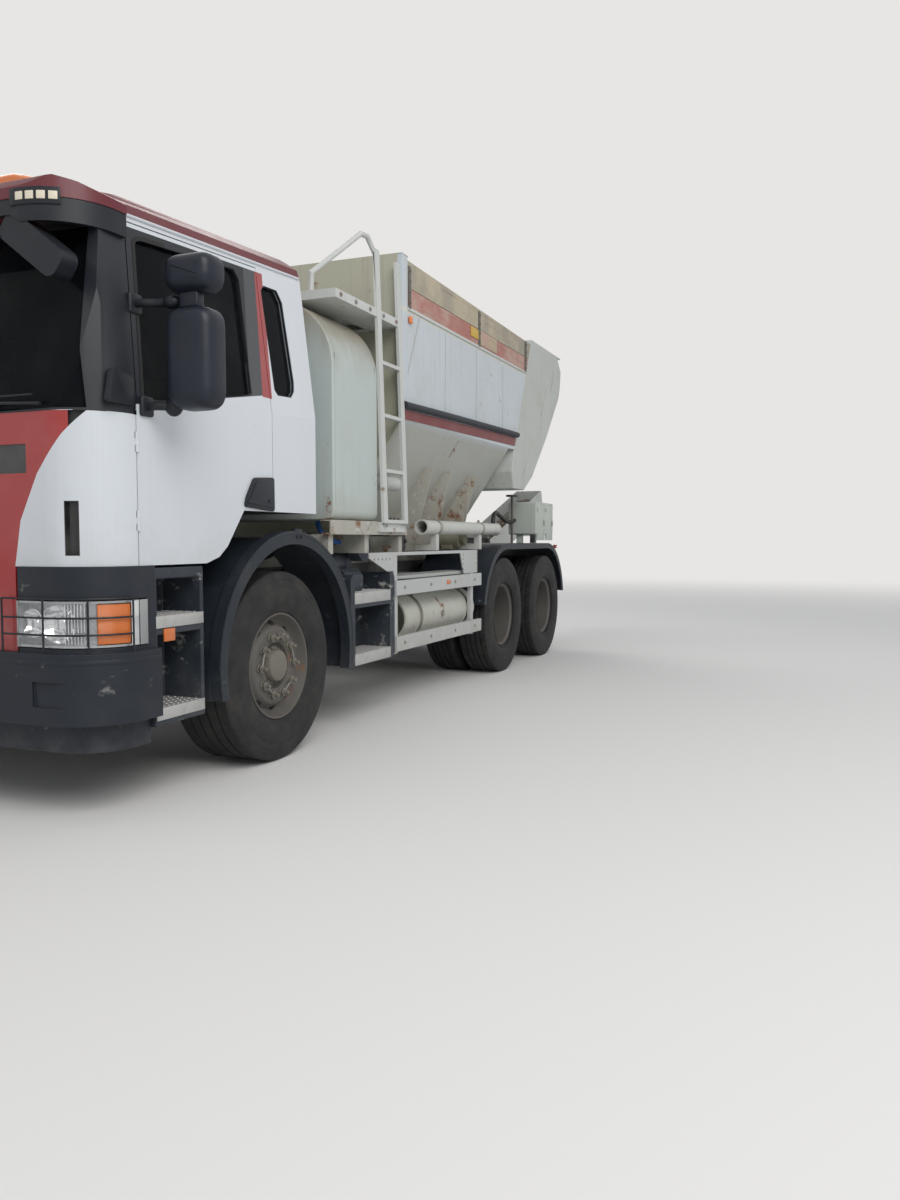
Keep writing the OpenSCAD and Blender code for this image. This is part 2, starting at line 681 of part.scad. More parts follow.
// Half width of the cab at height z
function side_at(z) = cab_half - side_lean * max(0, z - waist_z) / (rail_z - waist_z);
module mirror_arm_set() {
    module housing(z0, z1) translate([0, 0, z0]) linear_extrude(z1 - z0)
        round_rect(mirror_x - 70, mirror_y - 125, mirror_x + 70, mirror_y + 125, 45);
    housing(1820, 2270);
    housing(2330, 2500);
    block([mirror_x - 20, mirror_y - 30, 2270], [mirror_x + 20, mirror_y + 30, 2330]);
    for (z = [1842, 2225]) {
        bar([mirror_x, mirror_y + 60, z], [door_x + 60, -side_at(z) + 10, z], 22);
        block([door_x + 15, -side_at(z) - 18, z - 45], [door_x + 105, -side_at(z) + 30, z + 45]);
    }
}
module mirror_set() difference() {
    mirror_arm_set();
    cab_sides();
}
module mirror_left() color("#26282c") placed() mirror_set();
module mirror_right() color("#26282c") placed() mirror([0, 1, 0]) mirror_set();

// Front panel with its air slots and the black band recess
module front_grille() color("#7a1c20") placed() difference() {
    intersection() {
        difference() {
            union() {
                cab_solid();
                block([cab_x, -780, panel_low_z], [cab_x + skin_t, 780, cab_low_z + 1]);
            }
            translate([cab_x + skin_t, -half_w, 0]) cube([3000, body_w, 3000]);
        }
        along(cab_x - 50, cab_x + 400) mirrored_outline(panel_half);
    }
    for (z = [cab_low_z - 90:95:cab_low_z + 330])
        block([cab_x - 5, -640, z], [cab_x + skin_t + 5, 640, z + 48]);
    block([cab_x - 5, -840, screen_low_z - 255], [cab_x + 12, 840, screen_low_z - 130]);
}

module corner_panels() color("#eceded") placed() difference() {
    union() {
        intersection() {
            cab_solid();
            front_zone();
        }
        hinge_of_cab();
    }
    both_sides() hinge_place() {
        for (k = [-1.5, 0.5]) translate([0, 0, k * hinge_h]) cylinder(r = hinge_r + 5, h = hinge_h);
        translate([0, 0, -2 * hinge_h]) cylinder(r = hinge_r / 2 + run_gap, h = 4 * hinge_h);
    }
    cab_solid(skin_t);
    along(cab_x - 60, cab_x + 120) mirrored_outline(panel_half);
    block([cab_x - 50, -half_w - 50, cab_low_z - 100], [0, half_w + 50, cab_low_z]);
    both_sides() block([cab_x - 50, -1085, 1180], [cab_x + 200, -1035, 1410]);
}

module bumper_plan(i) {
    r = corner_r + 20 - i;
    w = half_w + 5 - i;
    translate([bumper_x + i, -w + r]) square([r + 1, 2 * (w - r)]);
    translate([bumper_x + i + r, -w]) square([500 - r, 2 * w]);
    for (s = [-1, 1]) translate([bumper_x + i + r, s * (w - r)]) circle(r);
}
bumper_low_z = 440;
bumper_top_z = 755;
bumper_back = bumper_x + 400;
lamp_low_z = 775;
lamp_top_z = 985;
lamp_y = 770;
module front_bumper() color("#23252a") placed() difference() {
    union() {
        // Main bumper, the surround of the lamps and the valance set in below it
        translate([0, 0, bumper_low_z]) linear_extrude(bumper_top_z - bumper_low_z) difference() {
            bumper_plan(0);
            bumper_plan(90);
        }
        translate([0, 0, bumper_top_z - 1]) linear_extrude(cab_low_z - bumper_top_z - 1) difference() {
            bumper_plan(30);
            bumper_plan(110);
        }
        translate([0, 0, bumper_low_z - 130]) linear_extrude(131) difference() {
            bumper_plan(70);
            bumper_plan(110);
        }
        // Brackets to the frame
        both_sides() block([bumper_x + 60, rail_y - flange_w, 560], [frame_start, rail_y, 700]);
        both_sides() block([frame_start - 60, rail_y - flange_w, 560], [frame_start, rail_y, frame_top - 40]);
    }
    block([bumper_back, -half_w - 50, 200], [0, half_w + 50, cab_low_z + 50]);
    block([bumper_x - 10, -780.5, bumper_top_z], [bumper_x + 150, 780.5, cab_low_z + 10]);
    both_sides() block([bumper_x - 10, -half_w - 50, lamp_low_z], [bumper_x + 340, -lamp_y, lamp_top_z]);
    both_sides() block([bumper_x - 10, -1190, bumper_low_z + 80], [bumper_x + 14, -880, bumper_low_z + 190]);
    block([tow_x - 70, -90, 100], [tow_x + 130, 90, tow_z + 75]);
}

module headlamps() color("#c9ccce") placed() both_sides() difference() {
    intersection() {
        translate([0, 0, lamp_low_z + seat_gap]) linear_extrude(lamp_top_z - lamp_low_z - 2 * seat_gap) difference() {
            bumper_plan(22);
            bumper_plan(110);
        }
        block([bumper_x, -half_w - 50, 700], [bumper_x + 340 - seat_gap, -lamp_y - seat_gap, 1100]);
    }
    // Groove between the lamp and the amber corner lens
    block([bumper_x, -1128, 700], [bumper_x + 32, -1120, 1100]);
}

module sun_visor() color("#1d2027") placed() {
    difference() {
        translate([0, 0, visor_z]) linear_extrude(hood_z - seat_gap - visor_z) difference() {
            visor_plan(4);
            visor_plan(26);
        }
        block([hood_end_x, -half_w - 90, 2300], [400, half_w + 90, 2800]);
        cab_solid(-seat_gap);
        // The visor's lower edge rises to the middle
        along(cab_x - 200, cab_x + 600) polygon([[-900, visor_z - 10], [-820, visor_z + 35], [820, visor_z + 35], [900, visor_z - 10]]);
    }
    // Kerb mirror on the left
    translate([cab_x + 22, -925, 2490]) rotate([37, 0, 0]) translate([-48, 0, 0]) rotate([0, 90, 0])
        linear_extrude(96) round_rect(-66, -185, 66, 185, 50);
}

module beacon_bar() color("#d9791e") placed() difference() {
    along(door_x + 50, door_x + 230) mirrored_outline([[0, rail_z], [640, rail_z], [640, rail_z + 240],
        [600, rail_z + 265], [470, rail_z + 300], [0, rail_z + 300]]);
    cab_solid(-seat_gap);
    hood();
}

step_x0 = bumper_back + seat_gap;
step_x1 = -690;
module entry_steps() color("#3a3d42") placed() both_sides() difference() {
    block([step_x0, -half_w + 40, 380], [step_x1, -880, cab_low_z - 12]);
    for (z = [455, 885])
        block([step_x0 + 25, -half_w, z], [step_x1 - 25, -980, z + (z < 500 ? 350 : 180)]);
}

arch_cx = 95;
arch_r = 710;
module front_fenders() color("#1f2126") placed() both_sides() {
    difference() {
        across(-half_w + 59, -880) translate([arch_cx, front_axle_z]) circle(r = arch_r + 14);
        across(-half_w - 10, -870) translate([arch_cx, front_axle_z]) circle(r = arch_r);
        block([-900, -half_w - 50, -300], [1000, 0, 430]);
    }
    difference() {
        across(-half_w - 6, -half_w + 60) translate([arch_cx - 8, front_axle_z + 48]) circle(r = arch_r + 2);
        across(-half_w - 20, -800) translate([arch_cx - 5, front_axle_z + 35]) circle(r = arch_r - 60);
        block([-900, -half_w - 50, -300], [1000, 0, 430]);
        block([-800, -half_w - 50, 400], [step_x1 + 8, 0, cab_low_z]);
        across(-half_w - 50, 0) polygon([[-900, cab_low_z - 12], each arch_edge(12),
            [cab_back, cab_back_z - 12], [cab_back, 1900], [-900, 1900]]);
    }
    for (x = [arch_cx - 300, arch_cx + 330])
        bar([x, -rail_y - 7, frame_top - 60], [x, -890, frame_top + 110], 20);
}

// Seats, dashboard and steering wheel
seat_floor = cab_back_z + cab_wall;
module seats() color("#3d3f44") placed() both_sides() translate([-110, -700, seat_floor]) {
    block([-170, -190, 0], [190, 190, 260]);
    across(-240, 240) polygon([[-260, 270], [-280, 340], [-240, 390], [170, 360], [330, 1000], [420, 1000],
        [440, 940], [270, 300], [200, 260], [-200, 260]]);
    across(-130, 130) polygon([[345, 980], [380, 1190], [450, 1200], [440, 980]]);
}

module dashboard() color("#33353a") placed() {
    intersection() {
        across(-cab_half + 75, cab_half - 75) polygon([
            [cab_x, 1560], [cab_x, screen_low_z - 10], [cab_x + 170, screen_low_z + 40],
            [cab_x + 420, screen_low_z + 25], [cab_x + 500, screen_low_z - 60], [cab_x + 400, 1560]]);
        cab_solid(cab_wall + seat_gap);
    }
    translate([cab_x + 690, 700, screen_low_z + 150]) rotate([0, -38, 0]) {
        rotate_extrude($fn = 48) translate([220, 0]) circle(r = 16, $fn = 16);
        for (a = [90, 210, 330]) rotate(a) block([20, -18, -10], [214, 18, 6]);
        cylinder(r = 60, h = 30, center = true);
    }
    bar([cab_x + 690, 700, screen_low_z + 150], [cab_x + 430, 700, screen_low_z - 120], 32);
}

// Boxes and tanks beside the frame

battery_x = 825;
battery_len = 655;
module battery_box() color("#34373c") placed() {
    end_x = battery_x + battery_len;
    difference() {
        union() {
            across(-half_w + 30, -rail_y - 200) round_rect(battery_x, 420, end_x, 1020, 50);
            block([battery_x + 80, -rail_y - 201, 700], [end_x - 80, -rail_y - seat_gap, 900]);
        }
        // Two steps, the upper one open above
        for (z = [[490, 800], [892, 1100]])
            block([battery_x + 60, -half_w, z[0]], [end_x - 75, -half_w + 265, z[1]]);
    }
    // Reservoir in the upper step's recess
    along(battery_x + 59, battery_x + 290) round_rect(-half_w + 90, 880, -half_w + 262, 1045, 60);
}

fuel_x1 = 2650;
module fuel_tank() color("#b9bbbd") placed() {
    along(1150, fuel_x1) round_rect(rail_y + 120, 440, half_w - 60, 1010, 110);
    for (x = [1350, 2400]) block([x, rail_y + seat_gap, 600], [x + 60, rail_y + 121, 980]);
}

guard_x0 = battery_x + battery_len + seat_gap;
guard_x1 = wheelbase - 680;
guard_y = half_w - 15;
guard_post_z = 960;
guard_plate_z = 1158;
// Two rails from x0 to the rear wheels, on a post and an arm at each end
module guard_rails(x0) {
    for (z = [450, 850]) block([x0, -guard_y, z], [guard_x1, -guard_y + 30, z + 105]);
    for (x = [x0 + 20, guard_x1 - 190]) {
        block([x, -guard_y + 30 + seat_gap, 430], [x + 60, -guard_y + 60, guard_post_z]);
        block([x, -guard_y + 60 + seat_gap, guard_post_z - 60], [x + 60, -rail_y - seat_gap, guard_post_z]);
    }
}
// Drilled plates on the posts, joined by one bar
module guard_plates(x0) across(-guard_y + 32, -guard_y + 42) difference() {
    foot_z = guard_post_z + seat_gap;
    union() {
        translate([x0 + 15, guard_plate_z - 24]) square([guard_x1 - 35 - x0, 24]);
        polygon([[x0 - 355, guard_plate_z], [x0 - 355, guard_plate_z - 38], [x0 - 80, 1024], [x0 + 21, 1024],
            [x0 + 21, foot_z], [x0 + 79, foot_z], [x0 + 79, guard_plate_z]]);
        polygon([[guard_x1 - 430, guard_plate_z], [guard_x1 - 340, foot_z], [guard_x1 - 20, foot_z], [guard_x1 - 20, guard_plate_z]]);
    }
    for (x = [x0 - 280:60:x0 - 20]) translate([x, guard_plate_z - 48]) circle(9, $fn = 20);
    for (x = [guard_x1 - 350, guard_x1 - 50], z = [1000:40:1120]) translate([x, z]) circle(9, $fn = 20);
}
module side_guards() color("#c9cccc") placed() {
    guard_plates(guard_x0);
    mirror([0, 1, 0]) guard_plates(fuel_x1 + 30);
    guard_rails(guard_x0);
    mirror([0, 1, 0]) guard_rails(fuel_x1 + 30);
    // Perforated tread over the air tank
    difference() {
        block([guard_x0 + 20, -guard_y + 61, guard_post_z + seat_gap], [guard_x1 - 120, -guard_y + 280, guard_post_z + 22]);
        for (x = [guard_x0 + 80:120:guard_x1 - 230]) block([x, -guard_y + 100, 950], [x + 60, -guard_y + 240, 1000]);
    }
}

air_tank_x = 1800;
air_tank_len = 1435;
air_tank_r = 165;
air_tank_z = 655;
module air_tank() color("#cfd0c8") placed() {
    y = -guard_y + 75 + air_tank_r;
    difference() {
        rod_x(air_tank_r, air_tank_x, air_tank_x + air_tank_len, y, air_tank_z);
        rod_x(air_tank_r - 14, air_tank_x - 1, air_tank_x + 220, y, air_tank_z);
    }
    for (x = [air_tank_x + 250, air_tank_x + air_tank_len - 200]) {
        difference() {
            rod_x(air_tank_r + 8, x, x + 50, y, air_tank_z);
            rod_x(air_tank_r + 0.05, x - 1, x + 51, y, air_tank_z);
        }
        block([x, y + air_tank_r - 10, 620], [x + 50, -rail_y - seat_gap, 840]);
    }
}

fender_r = 650;
fender_cz = 560;
fender_low = 670;
module tandem_outline(r) {
    translate([mid_axle, fender_cz]) circle(r);
    translate([rear_axle, fender_cz]) circle(r);
    translate([mid_axle, fender_cz]) square([bogie_spread, r]);
}
module rear_fenders() color("#1f2126") placed() both_sides() {
    difference() {
        across(-half_w, -rear_wheel_y + twin_pitch + rear_tyre_w / 2 + 20) tandem_outline(fender_r);
        across(-half_w + 14, 0) tandem_outline(fender_r - 12);
        across(-half_w - 10, 0) tandem_outline(fender_r - 55);
        block([mid_axle - 900, -half_w - 50, -300], [rear_axle + 900, 0, fender_low]);
    }
    for (p = [[mid_axle - 150, 42], [(mid_axle + rear_axle) / 2, 28], [rear_axle + 150, 42]])
        bar([p[0], -rail_y - 12, 985], [p[0], -rail_y - 320, fender_cz + fender_r - p[1]], 22);
}

lamp_bar_x = frame_end + 30;
module tail_lamps() color("#7e2a24") placed() both_sides() {
    block([lamp_bar_x, 150, 460], [lamp_bar_x + 35, half_w - 80, 570]);
    block([frame_end + seat_gap, rail_y - 80, 461], [lamp_bar_x + 1, rail_y, frame_top - 60]);
    block([lamp_bar_x + 2, half_w - 420, 569], [lamp_bar_x + 40, half_w - 90, fender_low - 6]);
}

// Mixer body

module water_tank() color("#c3cbbf") placed() {
    r_low = 60;
    along(tank_x, tank_end) {
        translate([-half_mixer, tank_low_z + r_low]) square([mixer_w, tank_top_z - shoulder_r - tank_low_z - r_low]);
        translate([-half_mixer + r_low, tank_low_z]) square([mixer_w - 2 * r_low, r_low + 1]);
        translate([-half_mixer + shoulder_r, tank_low_z]) square([mixer_w - 2 * shoulder_r, tank_top_z - tank_low_z]);
        for (s = [-1, 1]) {
            translate([s * (half_mixer - r_low), tank_low_z + r_low]) circle(r_low);
            translate([s * (half_mixer - shoulder_r), tank_top_z - shoulder_r]) circle(shoulder_r);
        }
    }
    // Stub of the filling hose, low on the right
    rod_y(fill_r, tank_x + tank_len / 2, half_mixer - 5, half_mixer + fill_len, tank_low_z + 160);
}
fill_r = 38;
fill_len = 55;

saddle_h = 90;
module mixer_subframe() color("#b7a78c") placed() {
    beam_y = rail_y - 30;
    beam_top = belt_top - 2 * belt_drum_r - 2;
    bearer_low = beam_top + seat_gap;
    // Two long beams on the frame; the bearers on them leave the belt's way free
    both_sides() {
        block([tank_x - 20, beam_y - 80, frame_top + seat_gap], [frame_end - 20, beam_y, beam_top]);
        for (x = [tank_x, tank_end - 120])
            block([x, 0, bearer_low], [x + 60, half_mixer - 40, tank_low_z - saddle_h - seat_gap]);
        block([hopper_x + 20, belt_side_y, bearer_low], [hopper_x + 80, half_mixer - 40, hopper_foot_z - seat_gap]);
        for (x = [hopper_x + 850, hopper_x + 1250, hopper_x + 1850])
            block([x, belt_side_y, bearer_low], [x + 60, slope_foot_y + 250, bearer_z + 10]);
        block([hopper_end - 60, belt_side_y, bearer_low], [hopper_end, slope_foot_y - 130, bearer_z + 10]);
        // Legs under the cement bin
        for (x = [hopper_end + 190, hopper_end + 400])
            block([x, belt_side_y, bearer_low], [x + 60, belt_side_y + 60, bin_foot_z - seat_gap]);
        // Channel under the tank's edge
        along(tank_x - 40, hopper_x + 80) polygon([
            [-half_mixer, tank_low_z - saddle_h], [-half_mixer, tank_low_z], [-half_mixer + 70, tank_low_z],
            [-half_mixer + 70, tank_low_z - 8], [-half_mixer + 8, tank_low_z - 8],
            [-half_mixer + 8, tank_low_z - saddle_h + 8], [-half_mixer + 70, tank_low_z - saddle_h + 8],
            [-half_mixer + 70, tank_low_z - saddle_h]]);
        // Gusset plates that carry the hopper's slopes
        gusset_low = bearer_z + 10 + seat_gap;
        for (x = [hopper_x + 860, hopper_x + 1260, hopper_x + 1860]) along(x, x + 12) polygon([
            [-slope_foot_y - 240, gusset_low], [-slope_foot_y - 400, slope_foot_z + 490],
            [-slope_y(slope_foot_z + 490) - 0.5, slope_foot_z + 490], [-slope_foot_y - 0.5, slope_foot_z],
            [-slope_foot_y - 0.5, gusset_low]]);
    }
}
// Half width of the hopper's outer face at height z on its slope
function slope_y(z) = slope_foot_y + (half_mixer - slope_foot_y) * (z - slope_foot_z) / (slope_z - slope_foot_z);

ladder_x0 = tank_end + 1;
ladder_x1 = hopper_x - 2;
ladder_low = tank_low_z - 10;
ladder_top = 3190;
ladder_foot_y = -half_w - 20;
ladder_head_y = -half_mixer + 10;
ladder_tilt = atan2(ladder_head_y - ladder_foot_y, ladder_top - ladder_low);
rung_z = [0, 345, 720, 1075]; // Heights above the ladder's foot
platform_z = tank_top_z;
platform_h = 55;
module ladder_platform() color("#c6c9c2") placed() {
    // Ladder, its foot further out than its head
    translate([0, ladder_foot_y, ladder_low]) rotate([-ladder_tilt, 0, 0]) {
        for (x = [ladder_x0, ladder_x1 - 60]) block([x, 0, 0], [x + 60, 22, ladder_top - ladder_low]);
        for (z = rung_z) block([ladder_x0 + 58, 0, z], [ladder_x1 - 58, 40, z + 24]);
    }
    // Brackets from the ladder to the channel and the hopper's corner post
    block([ladder_x0, ladder_foot_y + 22, ladder_low - 60], [ladder_x1, -half_mixer - seat_gap, ladder_low + 6]);
    // Platform on the water tank
    difference() {
        block([tank_x + 45, -half_mixer, platform_z + seat_gap], [hopper_x - 2, half_mixer, platform_z + platform_h]);
        block([tank_x + 53, -half_mixer + 8, platform_z + 8], [hopper_x + 1, half_mixer - 8, platform_z + platform_h - 6]);
        block([tank_end + 60, -half_mixer + 250, platform_z - 1], [hopper_x - 60, half_mixer - 250, platform_z + 9]);
    }
    // Handrail, from the platform's edge to the ladder's head
    head_y = ladder_head_y + 20;
    rail = [[tank_x + 100, -half_mixer + 205, platform_z + platform_h - 5], [tank_x + 108, -half_mixer + 205, 2920],
        [ladder_x0 - 170, head_y, 3235], [ladder_x0 - 80, head_y, 3245], [ladder_x0 + 30, head_y, 3165]];
    for (i = [0:3]) bar(rail[i], rail[i + 1], 17);
    for (i = [1:3]) translate(rail[i]) sphere(r = 19, $fn = 24);
}

bin_x = hopper_end + 170;
bin_lean = 520;
// Place of the wall between the hopper and the bin at height z
function wall_x(z) = bin_x + (z - slope_z) * bin_lean / (bin_top_z - slope_z);
bin_back = wall_x(bin_top_z) + bin_top_len;
hopper_foot_z = slope_foot_z - 60;
hopper_front_top = hopper_rim_z + board_h + 60;
// Section of the hopper, i inside its outer faces
module hopper_section(i) mirrored_outline([
    [0, hopper_foot_z - (i > 0 ? 20 : 0)], [belt_y + 20 - i, hopper_foot_z - (i > 0 ? 20 : 0)],
    [belt_y + 20 - i, slope_foot_z - 50 + i * 0.8], [slope_foot_y - i * 0.6, slope_foot_z + i * 0.8],
    [half_mixer - i, slope_z + i * 0.6],
    [half_mixer - i, hopper_rim_z + (i > 0 ? 20 : 0)], [0, hopper_rim_z + (i > 0 ? 20 : 0)]]);
// Side view of the hopper, i inside its outer faces
module hopper_side(i) across(-half_w, half_w) polygon([
    [hopper_x + i, 1200], [hopper_end - i, 1200], [hopper_end - i, slope_z], [wall_x(slope_z) - i, slope_z],
    [wall_x(hopper_rim_z + 60) - i, hopper_rim_z + 60], [hopper_x + i, hopper_rim_z + 60]]);
module aggregate_hopper() color("#c9ccc0") placed() {
    difference() {
        intersection() {
            along(hopper_x, hopper_end + 900) hopper_section(0);
            hopper_side(0);
        }
        intersection() {
            along(hopper_x + 1, hopper_end + 900) hopper_section(hopper_wall);
            hopper_side(hopper_wall);
        }
    }
    // Front wall above the rim, its corner posts, and the wall that parts sand from stone
    block([hopper_x, -half_mixer, hopper_rim_z - 1], [hopper_x + hopper_wall, half_mixer, hopper_front_top]);
    both_sides() block([hopper_x - 1, -half_mixer - 4, 2240], [hopper_x + 95, -half_mixer + hopper_wall, hopper_front_top]);
    across(-4, 4) polygon([[hopper_x + 5, slope_foot_z + 60], [hopper_end - 5, slope_foot_z + 60],
        [hopper_end - 5, slope_z + 5], [wall_x(slope_z) - 5, slope_z + 5],
        [wall_x(hopper_rim_z + 150) - 40, hopper_rim_z + 150], [hopper_x + 5, hopper_rim_z + 150]]);
}

board_x0 = hopper_x + 95 + seat_gap;
module side_boards() color("#a8896f") placed() both_sides() difference() {
    across(-half_mixer - 2, -half_mixer - 2 + board_t) polygon([
        [board_x0, hopper_rim_z + seat_gap], [wall_x(hopper_rim_z) - 1, hopper_rim_z + seat_gap],
        [wall_x(hopper_rim_z + board_h) - 1, hopper_rim_z + board_h], [board_x0, hopper_rim_z + board_h + 30]]);
    // Joint between the upper and the lower board
    block([board_x0 - 5, -half_mixer - 3, hopper_rim_z + 150], [bin_back, -half_mixer + 4, hopper_rim_z + 156]);
}

belt_top = slope_foot_z - 62;
belt_drum_r = 55;
belt_t = 8;
belt_x0 = hopper_x - 60;
belt_x1 = frame_end + 100;
belt_side_y = belt_y + 14;
// Side view of the belt's loop at distance r from the drums' middles
module belt_loop(r) {
    translate([belt_x0, belt_top - belt_drum_r]) circle(r);
    translate([belt_x1, belt_top - belt_drum_r]) circle(r);
    translate([belt_x0, belt_top - belt_drum_r - r]) square([belt_x1 - belt_x0, 2 * r]);
}
module conveyor_belt() color("#2e2d2c") placed() {
    difference() {
        across(-belt_y, belt_y) belt_loop(belt_drum_r);
        across(-belt_y - 1, belt_y + 1) belt_loop(belt_drum_r - belt_t);
    }
    for (x = [belt_x0, belt_x1]) rod_y(belt_drum_r - belt_t, x, -belt_y - 30, belt_y + 30, belt_top - belt_drum_r);
    both_sides() block([belt_x0 + 70, belt_y + 1, belt_top - 2 * belt_drum_r],
        [belt_x1 + 20, belt_side_y - seat_gap, belt_top - 12]);
}

bin_foot_x = hopper_end + 150;
module cement_bin() color("#cdd0c8") placed() across(-half_mixer, half_mixer) polygon([
    [wall_x(bin_top_z - 30) + seat_gap, bin_top_z - 30], [wall_x(bin_top_z) + 30, bin_top_z],
    [bin_back - 160, bin_top_z], [bin_back, bin_top_z - 140], [bin_back - 30, bin_top_z - 320],
    [bin_back - 100, bin_top_z - 460], [bin_back - 550, bin_top_z - 920], [bin_back - 1060, bin_foot_z + 150],
    [bin_foot_x + bin_foot_len, bin_foot_z], [bin_foot_x, bin_foot_z], [bin_foot_x - 50, bin_foot_z + 160],
    [wall_x(slope_z) + seat_gap, slope_z]]);

module control_box() color("#b9c0b4") placed() {
    across(-half_w + 30, -half_w + 330) round_rect(rear_axle - 350, 1300, rear_axle + 290, 1640, 20);
    block([rear_axle - 300, -half_w + 200, fender_cz + fender_r], [rear_axle - 240, -half_w + 260, 1301]);
    block([rear_axle + 180, -half_w + 200, fender_cz + fender_r], [rear_axle + 240, -half_w + 260, 1301]);
}

pipe_r = 56;
pipe_z = 1345;
module stowed_pipe() color("#c8cac4") placed() {
    difference() {
        rod_x(pipe_r, hopper_x + 610, hopper_end - 30, -half_w + 150, pipe_z);
        rod_x(pipe_r - 7, hopper_x + 609, hopper_end - 29, -half_w + 150, pipe_z);
    }
    for (x = [hopper_x + 850, hopper_x + 1850]) {
        block([x, -half_w + 125, bearer_z - 40], [x + 60, -half_w + 175, pipe_z - pipe_r + 2]);
        block([x, -half_w + 125, bearer_z - 40], [x + 60, -slope_foot_y - 250 - seat_gap, bearer_z + 8]);
    }
}

pump_r = 95;
pump_x = tank_end + 150;
pump_y = -half_mixer + 330;
pump_low = 1021;
module water_pump() color("#6b6f78") placed() {
    // Pulley and pump, the motor beside them, on one plate
    rod_y(pump_r, pump_x, pump_y - 150, pump_y - 60, 1190);
    rod_y(32, pump_x, pump_y - 61, pump_y - 29, 1190);
    rod_y(78, pump_x, pump_y - 30, pump_y + 90, 1190);
    block([pump_x - 50, pump_y - 20, pump_low + 20], [pump_x + 50, pump_y + 80, 1180]);
    rod_x(62, pump_x - 430, pump_x - 90, pump_y, pump_low + 66);
    rod_x(30, pump_x - 91, pump_x - 40, pump_y, pump_low + 66);
    block([pump_x - 420, pump_y - 70, pump_low], [pump_x + 60, pump_y + 90, pump_low + 24]);
    block([pump_x - 30, pump_y + 89, pump_low], [pump_x + 10, -rail_y - seat_gap, pump_low + 24]);
}

// Slewing mixing auger

// Puts what is drawn along +X from the tilt pin at the auger's angle
module at_tilt() translate([slew_x, 0, tilt_z]) rotate([0, -auger_angle, 0]) children();

cheek_y = trough_r + trough_t + 20;
cheek_t = 18;
tilt_pin_r = 30;
module slew_frame() color("#b9bdb6") placed() {
    plate_z = post_high + 3;
    translate([slew_x, 0, 0]) {
        translate([0, 0, post_low - 20]) cylinder(r = post_r, h = plate_z - post_low + 21);
        difference() {
            union() {
                translate([0, 0, plate_z]) cylinder(r = 240, h = 18);
                both_sides() across(cheek_y, cheek_y + cheek_t) polygon([
                    [-90, plate_z], [150, plate_z], [150, tilt_z - 60], [70, tilt_z + 55], [-70, tilt_z + 55], [-90, tilt_z]]);
                // Arm that carries the lift cylinder's pin
                both_sides() across(36, 52) polygon([
                    [post_r + 60, plate_z + 9], [anchor_x + 45, plate_z + 9], [anchor_x + 45, tilt_z + anchor_z - 45],
                    [anchor_x - 45, tilt_z + anchor_z - 45], [post_r + 60, plate_z - 12]]);
            }
            rod_y(tilt_pin_r + run_gap, 0, -cheek_y - 60, cheek_y + 60, tilt_z);
            rod_y(lift_pin_r + run_gap, anchor_x, -80, 80, tilt_z + anchor_z);
        }
    }
}

module auger_trough() color("#b4b8ae") placed() at_tilt() difference() {
    union() {
        difference() {
            union() {
                rod_x(trough_r + trough_t, -trough_tail, trough_len, 0, 0);
                block([-trough_tail, -trough_r - trough_t, 0], [trough_len, trough_r + trough_t, trough_rim]);
            }
            rod_x(trough_r, -trough_tail + trough_t, trough_len - trough_t, 0, 0);
            block([-trough_tail + trough_t, -trough_r, 0], [trough_len - trough_t, trough_r, trough_rim + 1]);
            // Outlet under the far end
            block([trough_len - 300, -110, -trough_r - 60], [trough_len - 60, 110, -60]);
        }
        // Tilt pins
        both_sides() rod_y(tilt_pin_r, 0, trough_r + trough_t - 1, cheek_y + cheek_t + 12, 0);
        // Outlet spout
        difference() {
            block([trough_len - 308, -118, -trough_r - spout_drop], [trough_len - spout_inset, 118, -trough_r + 60]);
            block([trough_len - 300, -110, -trough_r - spout_drop - 1], [trough_len - spout_inset - 8, 110, 0]);
            rod_x(trough_r + 1, trough_len - 400, trough_len, 0, 0);
        }
        // Lugs for the lift rod
        both_sides() difference() {
            across(34, 50) polygon([[lug_reach - 90, -trough_r + 4], [lug_reach - 45, -lug_drop - 30],
                [lug_reach + 45, -lug_drop - 30], [lug_reach + 90, -trough_r + 4]]);
            rod_y(lug_hole_r, lug_reach, 30, 60, -lug_drop);
        }
    }
    rod_x(shaft_r + run_gap, -trough_tail - 10, trough_len + 10, 0, 0);
}

shaft_r = 32;
flight_pitch = 300;
flight_t = 10;
module mixing_screw() color("#8c8a84") placed() at_tilt() {
    rod_x(shaft_r, -trough_tail - 60, trough_len + 30, 0, 0);
    start = -trough_tail + trough_t + 20;
    run = trough_len - trough_t - 20 - start;
    translate([start, 0, 0]) rotate([0, 90, 0])
        linear_extrude(run, twist = -360 * run / flight_pitch, slices = round(run / flight_pitch * 12), segments = 4)
            translate([shaft_r - 4, -flight_t]) square([screw_r - shaft_r + 4, 2 * flight_t]);
    // Drive motor on the lower end
    rod_x(75, -trough_tail - 75, -trough_tail - 5, 0, 0);
}

